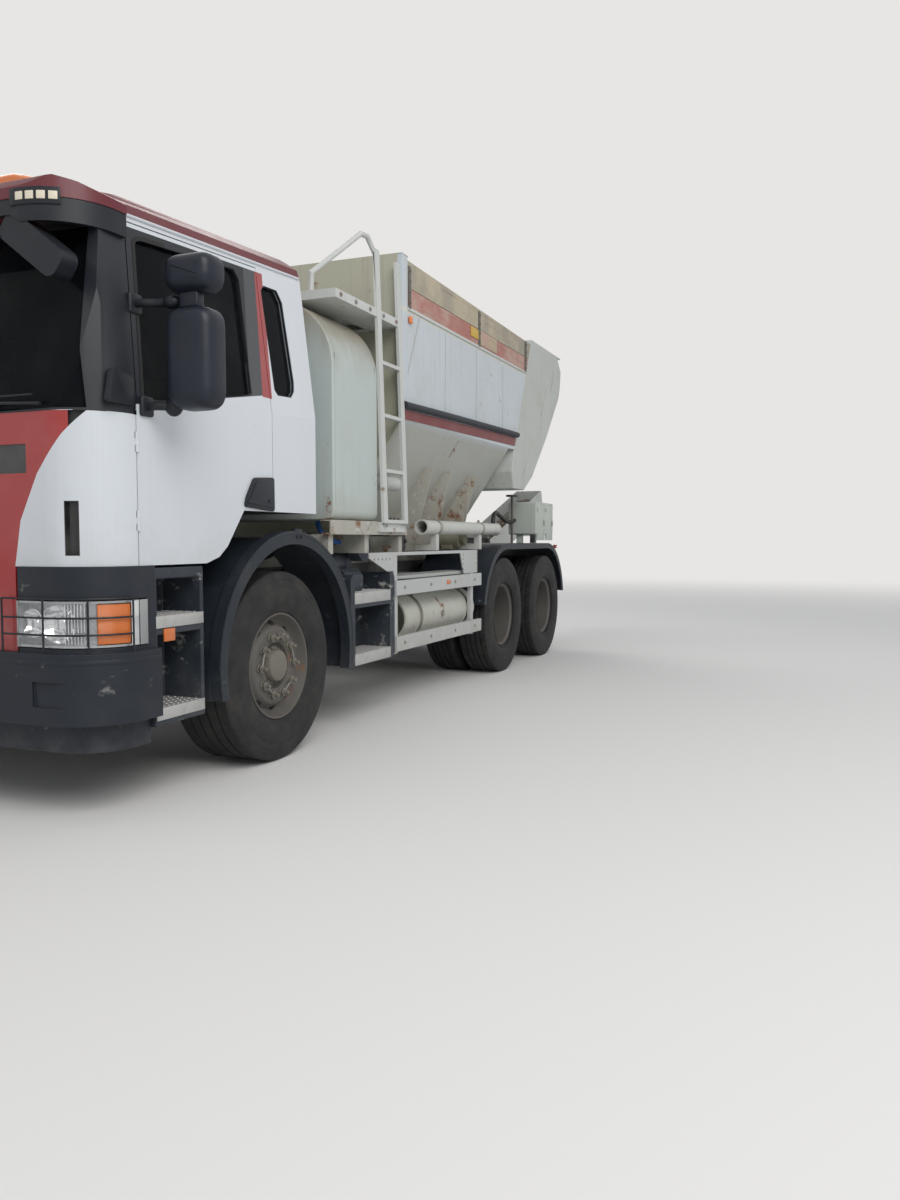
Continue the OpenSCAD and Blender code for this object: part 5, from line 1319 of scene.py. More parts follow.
@dataclass
class FrontRim:
    """A front wheel's rim: deep flange, cone with hand holes, ring of studs and a capped hub."""

    side: Side
    y: float = 1.0425
    axle_z: float = 0.536

    def build(self) -> None:
        """Makes the rim, its holes, studs and hub."""
        sign = self.side.value
        body = f"wheel_front_{self.side.word}"
        axis = (0.0, sign, 0.0)
        centre = (0.0, sign * self.y, self.axle_z)
        rim = Form()
        rim.lathe([(0.0005, 0.060), (0.10, 0.062), (0.215, 0.060), (0.252, -0.100), (0.272, -0.140),
                   (0.292, -0.163), (0.299, -0.160), (0.297, -0.150), (0.283, -0.146), (0.281, -0.120),
                   (0.268, -0.100), (0.268, 0.096), (0.281, 0.118), (0.283, 0.146), (0.2965, 0.150),
                   (0.3015, 0.158), (0.2985, 0.1645), (0.290, 0.163), (0.284, 0.152), (0.279, 0.136),
                   (0.266, 0.112), (0.257, 0.100), (0.249, 0.098), (0.240, 0.106), (0.224, 0.127),
                   (0.214, 0.137), (0.205, 0.139), (0.140, 0.139), (0.132, 0.134), (0.128, 0.120),
                   (0.122, 0.108), (0.100, 0.100), (0.0005, 0.098)], centre, axis, 96)
        rim.piece(f"{body}_rim", body, "rim_paint", Finishes.RIM, 40.0, [f"rim_front_{self.side.word}"])
        # The hand holes are not cut: dark discs stand on the cone where they are, as painted shade of the holes.
        holes = Form()
        for degrees in range(18, 378, 36):
            seat = on_face(centre, self.side, 0.236, degrees, 0.112)
            way = on_face((0.0, 0.0, 0.0), self.side, 0.45, degrees, 0.8).normalized()
            holes.rod(seat - way * 0.02, seat + way * 0.0035, 0.0195, sides=20)
        holes.piece(f"{body}_hand_holes", body, "rim_paint", Finishes.SEAL)
        hub = Form()
        hub.lathe([(0.112, 0.096), (0.110, 0.112), (0.100, 0.118), (0.094, 0.118), (0.090, 0.150), (0.084, 0.158),
                   (0.060, 0.166), (0.030, 0.169), (0.0005, 0.170)], centre, axis, 48)
        for degrees in range(10, 370, 45):
            hub.rod(on_face(centre, self.side, 0.102, degrees, 0.116),
                    on_face(centre, self.side, 0.102, degrees, 0.126), 0.007, sides=6)
        wheel_nuts(hub, centre, self.side, ((0.137, 0.146, 0.0265, 20, 0.002), (0.145, 0.170, 0.0180, 6, 0.0015),
                                            (0.168, 0.188, 0.0105, 12, 0.002)))
        hub.piece(f"{body}_hub", body, "rim_paint", Finishes.HUB, closed=False)
        clips = Form()
        half = Vector((0.0, sign * 0.005, 0.0))
        for degrees in range(0, 360, 72):
            pair = [on_face(centre, self.side, STUD_CIRCLE, degrees + step, 0.156) for step in (0, 36)]
            clips.rod(*pair, 0.0050, sides=8)
            for spot in pair:
                clips.rod(spot - half, spot + half, 0.0225, sides=20, bevel=0.001)
        clips.piece(f"{body}_nut_clips", body, "rim_paint", Finishes.CLIP)


# --------------------------------------------------------------------------- outlines


BUMPER_CORNER: Point = (-1.170, -0.965)
HOOD_CORNER: Point = (-1.167, -0.860)


def side_at(z: float) -> float:
    """Half width of the cab at a height; it leans in above the waist."""
    return 1.212 - 0.100 * max(0.0, z - 1.850) / 0.820


def rail_at(x: float) -> float:
    """Height of the roof rail."""
    return 2.670 + (x + 1.520) * math.tan(math.radians(3.4))


def bow(corner: Point, radius: float, place: float) -> Point:
    """A point of a front corner seen from above, on the left.

    Args:
        corner: the middle of its round part.
        radius: its radius.
        place: metres before the round part if negative, 0 to 1 round it, 1 plus metres after it.

    Returns:
        The point's x and y.
    """
    if place <= 0:
        return corner[0] - radius, corner[1] - place
    if place >= 1:
        return corner[0] + place - 1, corner[1] - radius
    angle = place * math.pi / 2
    return corner[0] - radius * math.cos(angle), corner[1] - radius * math.sin(angle)


def rounded(points: Sequence[Point], radius: float, steps: int = 4) -> list[Vector]:
    """A closed flat outline with its corners rounded off.

    Args:
        points: its corners (u, v).
        radius: how far from a corner the round part starts.
        steps: segments round a corner.

    Returns:
        The new outline.
    """
    made: list[Vector] = []
    corners = [Vector(p) for p in points]
    for before, here, after in zip([corners[-1], *corners[:-1]], corners, [*corners[1:], corners[0]]):
        start = here + (before - here).normalized() * min(radius, (before - here).length / CORNER_SHARE)
        end = here + (after - here).normalized() * min(radius, (after - here).length / CORNER_SHARE)
        for i in range(steps + 1):
            w = i / steps
            made.append(start * (1 - w) ** 2 + here * (2 * w * (1 - w)) + end * w ** 2)
    return made


def inset(points: Sequence[Vector], distance: float) -> list[Vector]:
    """A flat outline moved inwards by a distance."""
    area = sum(a.x * b.y - b.x * a.y for a, b in zip(points, [*points[1:], points[0]]))
    sign = 1.0 if area > 0 else -1.0
    made = []
    for before, here, after in zip([points[-1], *points[:-1]], points, [*points[1:], points[0]]):
        way = (after - before).normalized()
        made.append(here + Vector((-way.y, way.x)) * distance * sign)
    return made


def box_outline(u0: float, v0: float, u1: float, v1: float) -> list[Point]:
    """A rectangle's corners."""
    return [(u0, v0), (u1, v0), (u1, v1), (u0, v1)]


# --------------------------------------------------------------------------- cab


@dataclass
class Headlamps:
    """Both headlamps: reflectors in a housing behind a clear lens, an amber corner and a wire guard."""

    low: float = 0.779
    high: float = 0.981
    radius: float = 0.268
    seam: float = 0.41
    amber_from: float = 0.505
    amber_to: float = 0.854
    guard_radius: float = 0.2835
    wire: float = 0.0045

    def build(self) -> None:
        """Makes both lamps; each piece holds the left and the right one."""
        c, r = BUMPER_CORNER, self.radius
        housing = Form()
        housing.wall(c, r - 0.070, -0.180, 1.045, self.low, self.high, 0.012)
        for z0, z1 in ((self.low, self.low + 0.010), (self.high - 0.010, self.high)):
            housing.wall(c, r - 0.006, -0.180, 1.045, z0, z1, 0.074)
        housing.wall(c, r, -0.184, -0.176, self.low, self.high, 0.080)
        housing.wall(c, r, 0.985, 1.045, self.low, self.high, 0.080, 0.002)
        housing.both_sides().fix("headlamp_housing", "lamp_lens", Finishes.LAMP_BACK, replaces=["headlamps"])
        bowls = Form()
        for y, size, way in ((-0.838, 0.062, (-1.0, 0.0, 0.0)), (-0.985, 0.083, (-1.0, -0.18, 0.0))):
            centre = (-1.405, y, 0.880)
            bowls.lathe([(size + 0.004, 0.004), (size, 0.006), (size * 0.94, 0.000), (size * 0.78, -0.020),
                         (size * 0.5, -0.036), (size * 0.2, -0.044), (0.0005, -0.045)], centre, way, 48)
            bowls.lathe([(size * 0.36, -0.030), (size * 0.36, -0.014), (size * 0.30, -0.010), (0.0005, -0.008)],
                        centre, way, 32)
        for k in range(7):
            place = 0.17 + k * 0.034
            bowls.wall(c, r - 0.010, place, place + 0.010, self.low + 0.012, self.high - 0.012, 0.050, 0.001)
        bowls.both_sides().fix("headlamp_reflectors", "lamp_lens", Finishes.REFLECTOR, closed=False)
        lens = Form()
        lens.wall(c, r, -0.180, self.seam - 0.012, self.low + 0.002, self.high - 0.002, 0.004, 0.001)
        lens.wall(c, r, self.seam + 0.008, self.amber_from - 0.004, self.low + 0.002, self.high - 0.002, 0.004)
        lens.both_sides().fix("headlamp_lenses", "lamp_lens", Finishes.LENS)
        amber = Form()
        amber.wall(c, r, self.amber_from, self.amber_to, self.low + 0.014, self.high - 0.014, 0.020, 0.003)
        amber.both_sides().fix("indicator_lenses", "amber_lens", Finishes.AMBER)
        chrome = Form().wall(c, r - 0.001, 0.868, 0.972, self.low + 0.002, self.high - 0.002, 0.020, 0.003)
        chrome.both_sides().fix("headlamp_end_strips", "lamp_lens", Finishes.CHROME)
        self.guard()

    def guard(self) -> None:
        """Bends the wire guard round the lamp's front."""
        form = Form()
        places = [-0.255, -0.12, 0.0, *[k / 10 for k in range(1, 9)], 0.862]
        for z in (0.742, 0.836, 0.910, 0.992):
            form.pipe([(*bow(BUMPER_CORNER, self.guard_radius, p), z) for p in places], self.wire, 8, 0)
        for place in (-0.255, -0.02, 0.42, 0.862):
            x, y = bow(BUMPER_CORNER, self.guard_radius, place)
            form.rod((x, y, 0.740), (x, y, 0.994), self.wire, sides=8)
            inner = bow(BUMPER_CORNER, 0.262, place)
            for z in (0.742, 0.992):
                form.rod((x, y, z), (*inner, z), self.wire, sides=8)
        form.both_sides().fix("headlamp_guards", "black_plastic", Finishes.TRIM)


@dataclass
class Mirror:
    """A tall mirror with a wide-angle one above it, on two arms from the window's front edge.

    Each of the heads is its foot, its top and the radius of its corners.
    """

    side: Side
    x: float = -1.045
    y: float = -1.450
    heads: tuple[Point, ...] = ((1.822, 2.268, 0.088), (2.332, 2.498, 0.072))

    def housing(self, form: Form, z0: float, z1: float, corner: float) -> None:
        """Adds one housing: crowned towards the road ahead, rimmed round its glass."""
        edge = rounded(box_outline(self.y - 0.124, z0, self.y + 0.124, z1), corner, 8)
        layers = ((-0.072, 0.058), (-0.071, 0.050), (-0.067, 0.034), (-0.058, 0.020), (-0.044, 0.010),
                  (-0.026, 0.003), (0.000, 0.0), (0.050, 0.0), (0.060, 0.002), (0.066, 0.008), (0.060, 0.012),
                  (0.052, 0.013))
        form.loft([[(self.x + dx, p.x, p.y) for p in inset(edge, step)] for dx, step in layers])

    def glass(self, form: Form, z0: float, z1: float, corner: float) -> None:
        """Adds the mirror plate."""
        plate = rounded(box_outline(self.y - 0.110, z0 + 0.014, self.y + 0.110, z1 - 0.014), corner * 0.85, 7)
        form.prism(plate, lambda u, v, w: (w, u, v), self.x + 0.050, self.x + 0.056)

    def build(self) -> None:
        """Makes the housings, the plates and the arms."""
        body, name = f"door_{self.side.word}", f"mirror_{self.side.word}"
        form = Form()
        plates = Form()
        for head in self.heads:
            self.housing(form, *head)
            self.glass(plates, *head)
        form.box((self.x - 0.028, self.y - 0.040, 2.262), (self.x + 0.028, self.y + 0.060, 2.338), 0.012, 3)
        form.mirrored(self.side).piece(f"{name}_housings", body, "black_plastic", Finishes.MIRROR, replaces=[name])
        plates.mirrored(self.side).piece(f"{name}_plates", body, "rod_chrome", Finishes.PLATE_GLASS)
        arms = Form()
        for z, knob in ((1.842, 0.046), (2.300, 0.030)):
            foot = -side_at(z)
            arms.box((-1.132, foot - 0.020, z - 0.045), (-1.050, foot + 0.004, z + 0.045), 0.014, 3)
            arms.pipe([(-1.090, foot - 0.012, z), (-1.085, foot - 0.060, z), (-1.062, foot - 0.110, z),
                       (self.x, self.y + 0.105, z + 0.004)], 0.019, 14)
            arms.ball((self.x - 0.004, self.y + 0.112, z), (0.036, 0.044, knob), 8)
        arms.mirrored(self.side).piece(f"{name}_arms", body, "black_plastic", Finishes.TRIM)


@dataclass
class CabTrim:
    """Seals, handles, lamps, steps and wipers of the cab."""

    step_x0: float = -1.035
    step_x1: float = -0.715
    door_window: tuple[Point, ...] = (
        (-1.100, 1.880), (-0.990, 1.878), (-0.300, 2.000), (-0.230, 2.020), (-0.230, 2.627), (-0.270, 2.672),
        (-1.000, 2.612), (-1.040, 2.592))
    quarter: tuple[Point, ...] = (
        (-0.005, 2.075), (0.025, 2.048), (0.165, 2.055), (0.205, 2.095), (0.215, 2.150), (0.185, 2.600),
        (0.140, 2.660), (0.005, 2.655), (-0.028, 2.620))

    def build(self) -> None:
        """Makes everything that is fixed to the cab and its doors."""
        for side in Side:
            self.door(side)
        self.quarter_seals()
        self.pillars()
        self.led_bar()
        self.steps()
        self.arches()
        self.wipers()
        self.front()

    def door(self, side: Side) -> None:
        """Dresses one door: window seal, and handle in its housing."""
        body = f"door_{side.word}"
        seal = Form().side_band(inset(rounded(self.door_window, 0.02), -0.016), 0.020, 0.005)
        seal.mirrored(side).piece(f"{body}_seal", body, "black_plastic", Finishes.SEAL)
        shell = [(-0.252, 1.577), (-0.064, 1.588), (-0.062, 1.400), (-0.341, 1.420), (-0.325, 1.470)]
        face = -side_at(1.5)
        handle = Form().across(rounded(shell, 0.022), face - 0.016, face + 0.001, 0.006)
        handle.mirrored(side).piece(f"{body}_handle_housing", body, "black_plastic", Finishes.TRIM)
        pull = Form().across(rounded(inset([Vector(p) for p in shell], 0.022), 0.015), face - 0.0205, face - 0.012,
                             0.004)
        pull.rod((-0.120, face - 0.020, 1.455), (-0.120, face - 0.024, 1.455), 0.011, sides=20, bevel=0.001)
        pull.mirrored(side).piece(f"{body}_handle", body, "black_plastic", Finishes.BUMPER)

    def quarter_seals(self) -> None:
        """Rubber round the windows behind the doors."""
        outline = inset(rounded(self.quarter, 0.02), -0.030)
        rubber = Form().side_band(outline, 0.034, 0.006)
        rubber.both_sides().fix("quarter_window_rubbers", "black_plastic", Finishes.SEAL)
        edge = Form().side_band(inset(rounded(self.quarter, 0.02), -0.003), 0.008, 0.009)
        edge.both_sides().fix("quarter_window_beads", "black_plastic", Finishes.TRIM)

    def pillars(self) -> None:
        """Covers at the feet of the front pillars, and the gutter over the doors."""
        form = Form()
        form.across(rounded([(-1.330, 1.835), (-1.180, 1.835), (-1.172, 1.960), (-1.300, 1.985)], 0.02),
                    -1.222, -1.190, 0.008)
        form.both_sides().fix("pillar_foot_covers", "black_plastic", Finishes.TRIM)
        gutter = Form()
        line = [(x, -(side_at(2.60) - 0.006), rail_at(x) + 0.004) for x in (-1.10, -0.7, -0.3, 0.0, 0.2, 0.39)]
        gutter.pipe(line, 0.008, 8, 2)
        gutter.both_sides().fix("roof_gutters", "cab_white", Finishes.CAB_WHITE)

    def led_bar(self) -> None:
        """Four small lamps in a dark slot of the hood's front corners."""
        slot = Form().wall(HOOD_CORNER, 0.2925, -0.030, 0.44, 2.652, 2.724, 0.012, 0.003)
        slot.both_sides().fix("hood_lamp_slots", "black_plastic", Finishes.TRIM)
        glow = Form()
        for k in range(4):
            place = 0.010 + k * 0.108
            glow.wall(HOOD_CORNER, 0.2950, place, place + 0.080, 2.672, 2.706, 0.006, 0.002)
        glow.both_sides().fix("hood_lamps", "lamp_lens", Finishes.LED)

    def steps(self) -> None:
        """Alloy treads with raised rims, and the amber marker between them."""
        form = Form()
        for z in (0.455, 0.885):
            form.box((self.step_x0, -1.2095, z + 0.001), (self.step_x1, -0.984, z + 0.009), 0.002)
            form.box((self.step_x0 - 0.018, -1.2145, z - 0.048), (self.step_x1 + 0.018, -1.2085, z + 0.009), 0.002)
            form.studs((self.step_x0 + 0.024, -1.190, z + 0.006), (0.034, 0.042), (9, 5), z + 0.0125)
        form.both_sides().fix("entry_step_treads", "guard_alloy", Finishes.TREAD_PLATE)
        marker = Form().box((-0.995, -1.2155, 0.772), (-0.915, -1.2085, 0.832), 0.003)
        marker.both_sides().fix("step_markers", "amber_lens", Finishes.AMBER)

    def arches(self) -> None:
        """Two beads and a bracket on each front arch."""
        form = Form()
        for radius, bead in ((0.700, 0.009), (0.664, 0.006)):
            angles = [math.radians(a) for a in range(-10, 191, 5)]
            form.pipe([(0.087 + radius * math.cos(a), -1.250, 0.584 + radius * math.sin(a)) for a in angles],
                      bead, 8, 0)
        form.turned_box((0.140, -1.240, 1.272), (0.075, 0.034, 0.072),
                        Matrix.Rotation(math.radians(4), 4, "Y"), 0.008)
        form.bolts([(0.120, -1.257, 1.262), (0.160, -1.257, 1.262)], (0, -1, 0), 0.008, 0.006)
        form.both_sides().fix("front_arch_beads", "black_plastic", Finishes.FENDER)

    def wipers(self) -> None:
        """Two wipers at rest along the windscreen's lower edge."""
        form = Form()
        for y0, y1 in ((-0.95, -0.10), (0.02, 0.88)):
            form.pipe([(-1.438, y0, 1.826), (-1.434, (y0 + y1) / 2, 1.846), (-1.428, y1, 1.858)], 0.007, 8)
            form.box((-1.436, y0 + 0.05, 1.862), (-1.424, y1 - 0.02, 1.872), 0.003)
            form.rod((-1.420, y1, 1.845), (-1.442, y1, 1.852), 0.020, sides=16, bevel=0.003)
        form.fix("wipers", "black_plastic", Finishes.TRIM)

    def front(self) -> None:
        """The mesh behind the grille's slots, and the bumper's towing eyes and top lip."""
        mesh = Form()
        # A black sheet behind the mesh: painted shade of the space behind the grille.
        mesh.box((-1.392, -0.70, 0.90), (-1.388, 0.70, 1.76), 0.0)
        for k in range(24):
            mesh.rod((-1.396, -0.68, 0.91 + k * 0.036), (-1.396, 0.68, 0.91 + k * 0.036), 0.0022, sides=6)
        for k in range(38):
            mesh.rod((-1.396, -0.68 + k * 0.0365, 0.90), (-1.396, -0.68 + k * 0.0365, 1.76), 0.0022, sides=6)
        mesh.fix("grille_mesh", "black_plastic", Finishes.TRIM)
        hooks = Form()
        for y in (-0.62, 0.62):
            hooks.lathe([(0.026, -0.006), (0.034, -0.004), (0.036, 0.0), (0.034, 0.004), (0.026, 0.006),
                         (0.024, 0.0), (0.026, -0.006)], (-1.456, y, 0.600), (0.0, 1.0, 0.0), 32)
        hooks.fix("bumper_eyes", "black_plastic", Finishes.BUMPER, closed=False)
        lip = Form().wall(BUMPER_CORNER, 0.2925, -0.94, 1.108, 0.705, 0.727, 0.010, 0.004)
        lip.both_sides().fix("bumper_top_lip", "black_plastic", Finishes.BUMPER)


@dataclass
class Seat:
    """One seat: squab, back and head restraint, each a padded piece on a base."""

    side: Side

    def build(self) -> None:
        """Makes the three pads and the base."""
        word = self.side.word
        lean = Matrix.Rotation(math.radians(14.0), 4, "Y")
        for name, centre, size, turn in (
                ("squab", (-0.150, -0.700, 1.795), (0.460, 0.470, 0.140), Matrix.Identity(4)),
                ("back", (0.185, -0.700, 2.130), (0.130, 0.450, 0.640), lean),
                ("headrest", (0.280, -0.700, 2.555), (0.090, 0.260, 0.170), lean)):
            form = Form().pad(centre, size, turn)
            obj = form.mirrored(self.side).fix(f"seat_{word}_{name}", "seat_cloth", Finishes.SEAT, crease=60.0)
        base = Form().box((-0.280, -0.880, 1.462), (0.070, -0.520, 1.560), 0.012)
        base.box((-0.230, -0.830, 1.555), (0.030, -0.570, 1.700), 0.03)
        base.box((-0.350, -0.900, 1.695), (0.080, -0.500, 1.735), 0.015)
        for y in (-0.74, -0.66):
            base.rod((0.190, y, 2.46), (0.206, y, 2.56), 0.007, sides=12)
        base.mirrored(self.side).fix(f"seat_{word}_base", "seat_cloth", Finishes.INSIDE,
                                       replaces=["seats"] if self.side is Side.LEFT else [])


# --------------------------------------------------------------------------- mixer


@dataclass
class MixerTrim:
    """What is fixed to the mixer's body: roll, stripe, rim trim, boards' posts, lamps, pipes and valves."""

    side_y: float = -1.224

    def build(self) -> None:
        """Makes the trims, the boards' fittings and the pipework."""
        self.roll_and_stripe()
        self.boards()
        self.posts()
        self.pipework()
        self.platform()
        self.hydraulics()
        self.bin_marks()
        self.guard_details()
        self.tank_details()

    def roll_and_stripe(self) -> None:
        """The rolled cover along the fold of the side, the dark-red stripe under it, and the rim's trim."""
        y = self.side_y
        stripe = Form().across([(1.622, 2.108), (4.176, 2.150), (4.212, 2.232), (1.622, 2.178)],
                               y - 0.0015, y + 0.002)
        stripe.both_sides().fix("side_stripes", "panel_red", Finishes.STRIPE)
        roll = Form().pipe([(1.620, y - 0.014, 2.206), (2.5, y - 0.016, 2.226), (3.4, y - 0.015, 2.243),
                            (4.218, y - 0.013, 2.258)], 0.026, 14, 8)
        roll.both_sides().fix("cover_rolls", "black_plastic", Finishes.ROLL)
        trim = Form().box((1.712, y - 0.006, 2.893), (4.520, y + 0.004, 2.914), 0.002)
        trim.both_sides().fix("hopper_rim_trims", "mixer_paint", Finishes.LADDER)

    def boards(self) -> None:
        """The posts that hold the side boards, and two patches on them."""
        y = self.side_y
        for name, corners, proud, finish in (
                ("board_patches", (2.976, 2.962, 3.192, 3.042), 0.004, Finishes.YELLOW),
                ("board_ply_patches", (3.196, 2.928, 3.640, 3.050), 0.003, Finishes.PLY)):
            patch = Form().across(box_outline(*corners), y - proud, y, 0.001)
            patch.both_sides().fix(name, "board_wood", finish)
        posts = Form()
        for x in (1.735, 3.180, 4.500):
            posts.box((x - 0.020, y - 0.008, 2.905), (x + 0.020, y + 0.002, 3.205), 0.002)
            posts.bolts([(x, y - 0.008, z) for z in (2.945, 3.020, 3.100, 3.170)], (0, -1, 0), 0.008, 0.006, False)
        posts.both_sides().fix("board_posts", "mixer_paint", Finishes.BRACKET)

    def posts(self) -> None:
        """Marker lamps and caps of the corner posts, and the seams in the side."""
        y = self.side_y
        lamp = Form().box((1.718, y - 0.020, 2.800), (1.762, y - 0.001, 2.850), 0.006, 3)
        lamp.both_sides().fix("hopper_marker_lamps", "amber_lens", Finishes.ORANGE)
        seam = Form()
        seam.across([(1.920, 2.880), (1.928, 2.880), (1.716, 2.442), (1.708, 2.442)], y - 0.0022, y)
        for x in (2.42, 3.12, 3.82):
            seam.box((x - 0.0025, y - 0.0016, 2.262), (x + 0.0025, y, 2.872), 0.0)
        seam.both_sides().fix("hopper_side_seams", "mixer_paint", Finishes.LADDER)
        cap = Form().box((1.606, y - 0.004, 3.262), (1.708, y + 0.034, 3.269), 0.002)
        cap.both_sides().fix("corner_post_caps", "mixer_paint", Finishes.LADDER)

    def pipework(self) -> None:
        """Collars and straps of the stowed pipe, handwheels of the valves, and the hopper's vibrator."""
        collars = Form()
        for x in (2.222, 3.946):
            collars.lathe([(0.049, -0.002), (0.060, -0.002), (0.0605, 0.0), (0.0605, 0.030), (0.056, 0.034)],
                          (x, -1.100, 1.345), (1.0, 0.0, 0.0), 40)
        collars.fix("stowed_pipe_collars", "pipe_paint", Finishes.PIPE, closed=False)
        straps = Form()
        for x in (2.505, 3.505):
            straps.lathe([(0.0565, -0.02), (0.0605, -0.02), (0.0605, 0.02), (0.0565, 0.02), (0.0565, -0.02)],
                         (x, -1.100, 1.345), (1.0, 0.0, 0.0), 40)
            straps.box((x - 0.012, -1.108, 1.400), (x + 0.012, -1.092, 1.424), 0.003)
        straps.fix("stowed_pipe_straps", "frame_paint", Finishes.BOLT)
        form = Form()
        for x, y, foot, z in ((4.773, -1.000, 1.205, 1.700), (5.278, -0.950, 1.555, 1.655)):
            form.rod((x, y, foot), (x, y, z), 0.012, sides=14)
            form.lathe([(0.052, 0.006), (0.058, 0.010), (0.064, 0.006), (0.064, -0.006), (0.058, -0.010),
                        (0.052, -0.006), (0.052, 0.006)], (x, y, z), (0.0, 0.0, 1.0), 32)
            for angle in range(0, 180, 60):
                dx, dy = 0.056 * math.cos(math.radians(angle)), 0.056 * math.sin(math.radians(angle))
                form.rod((x - dx, y - dy, z), (x + dx, y + dy, z), 0.005, sides=8)
        form.fix("valve_handwheels", "frame_paint", Finishes.BRACKET)
        body = Form().rod((1.720, -1.000, 1.666), (1.965, -1.000, 1.666), 0.052, sides=36, bevel=0.008)
        body.rod((1.840, -1.000, 1.666), (1.840, -0.860, 1.666), 0.022, sides=20)
        body.rod((1.712, -1.000, 1.666), (1.722, -1.000, 1.666), 0.030, sides=20, bevel=0.002)
        body.fix("hopper_vibrator", "mixer_paint", Finishes.LADDER)

    def platform(self) -> None:
        """The platform's tread, and bolts of the ladder and its brackets."""
        form = Form().studs((0.700, -1.170, 2.7925), (0.050, 0.0545), (18, 44), 2.7965, (0.0105, 0.0075), 6)
        form.fix("platform_tread", "guard_alloy", Finishes.GALVANISED)
        bolts = Form()
        bolts.bolts([(x, -1.2215, 2.766) for x in (0.72, 0.92, 1.12, 1.32, 1.52)], (0, -1, 0), 0.010, 0.008)
        bolts.bolts([(x, -1.2705, 1.345) for x in (1.252, 1.578)], (0, -1, 0), 0.010, 0.008)
        bolts.fix("ladder_bolts", "frame_paint", Finishes.BOLT)

    def hydraulics(self) -> None:
        """Steel lines along the frame, a valve block, a gear motor, and the air tank's straps and plugs."""
        lines = Form()
        for k, y in enumerate((-0.640, -0.672, -0.704)):
            lines.pipe([(0.640, y, 1.175), (1.240, y, 1.176 + 0.012 * k), (1.760, y, 1.150), (2.900, y, 1.150),
                        (4.200, y, 1.155), (5.560, y, 1.165)], 0.010, 10, 5)
        lines.fix("hydraulic_lines", "frame_paint", Finishes.CYLINDER)
        block = Form()
        block.box((1.900, -0.980, 1.168), (2.190, -0.830, 1.300), 0.006)
        for k in range(4):
            x = 1.935 + k * 0.072
            block.rod((x, -0.905, 1.298), (x, -0.905, 1.345), 0.024, sides=20, bevel=0.003)
            block.rod((x, -0.905, 1.343), (x, -0.935, 1.402), 0.007, sides=10)
            block.ball((x, -0.935, 1.404), (0.012, 0.012, 0.012), 6)
            block.rod((x, -0.978, 1.235), (x, -1.005, 1.235), 0.015, sides=6)
        block.box((1.880, -0.960, 1.160), (2.210, -0.640, 1.170), 0.002)
        block.fix("valve_block", "pump_metal", Finishes.CYLINDER)
        motor = Form()
        motor.rod((3.420, -0.960, 1.255), (3.420, -0.760, 1.255), 0.085, sides=36, bevel=0.010)
        motor.rod((3.420, -1.010, 1.255), (3.420, -0.955, 1.255), 0.052, sides=28, bevel=0.006)
        motor.box((3.340, -0.900, 1.160), (3.500, -0.800, 1.200), 0.004)
        motor.bolts([(3.420 + 0.066 * math.cos(a), -0.960, 1.255 + 0.066 * math.sin(a))
                     for a in (0.5, 1.6, 2.6, 3.7, 4.7, 5.8)], (0, -1, 0), 0.008, 0.007)
        motor.fix("gear_motor", "pump_metal", Finishes.MOTOR)
        straps = Form()
        for x in (2.052, 3.037):
            straps.lathe([(0.1735, 0.0), (0.1765, 0.0), (0.1765, 0.046), (0.1735, 0.046), (0.1735, 0.0)],
                         (x, -0.995, 0.655), (1.0, 0.0, 0.0), 64)
            straps.rod((x + 0.023, -1.085, 0.795), (x + 0.023, -1.085, 0.840), 0.008, sides=12)
        straps.fix("air_tank_straps", "frame_paint", Finishes.BRACKET)
        valve = Form().rod((2.500, -1.158, 0.655), (2.500, -1.180, 0.655), 0.020, sides=6, bevel=0.002)
        valve.rod((3.236, -0.995, 0.655), (3.262, -0.995, 0.655), 0.030, sides=24, bevel=0.003)
        valve.fix("air_tank_plugs", "frame_paint", Finishes.BOLT)

    def bin_marks(self) -> None:
        """Ribs, lid and hatch of the cement bin, the control box's doors, and the side lamps."""
        y = -1.220
        form = Form()
        for x0, z0, x1, z1 in ((5.286, 2.856, 5.062, 2.546), (4.682, 2.141, 4.413, 1.836),
                               (5.560, 3.090, 5.420, 2.860)):
            form.across([(x0 - 0.010, z0), (x0 + 0.010, z0), (x1 + 0.010, z1), (x1 - 0.010, z1)],
                        y - 0.006, y, 0.001)
        form.both_sides()
        form.box((4.740, -1.215, 3.255), (5.820, 1.215, 3.268), 0.003)
        form.box((5.000, -0.420, 3.266), (5.560, 0.420, 3.292), 0.008)
        for y in (-0.30, 0.30):
            form.box((4.980, y - 0.03, 3.266), (5.030, y + 0.03, 3.284), 0.003)
        form.fix("bin_ribs_and_lid", "mixer_paint", Finishes.BIN)
        doors = Form()
        for x in (4.925, 5.235):
            doors.box((x, -1.2245, 1.240), (x + 0.280, -1.219, 1.610), 0.003)
        doors.fix("control_box_doors", "mixer_paint", Finishes.BOX)
        fit = Form()
        for x in (5.175, 5.485):
            fit.box((x - 0.012, -1.236, 1.395), (x + 0.012, -1.222, 1.455), 0.004, 3)
        for x in (4.935, 5.245):
            for z in (1.290, 1.560):
                fit.rod((x, -1.228, z - 0.022), (x, -1.228, z + 0.022), 0.006, sides=12)
        fit.fix("control_box_fittings", "frame_paint", Finishes.BOLT)
        lamp = Form().rod((5.711, -1.200, 1.170), (5.711, -1.200, 1.190), 0.022, sides=20, bevel=0.004)
        lamp.box((5.690, -1.215, 1.150), (5.732, -1.185, 1.170), 0.003)
        lamp.both_sides().fix("side_lamps", "red_lens", Finishes.RED_LENS)

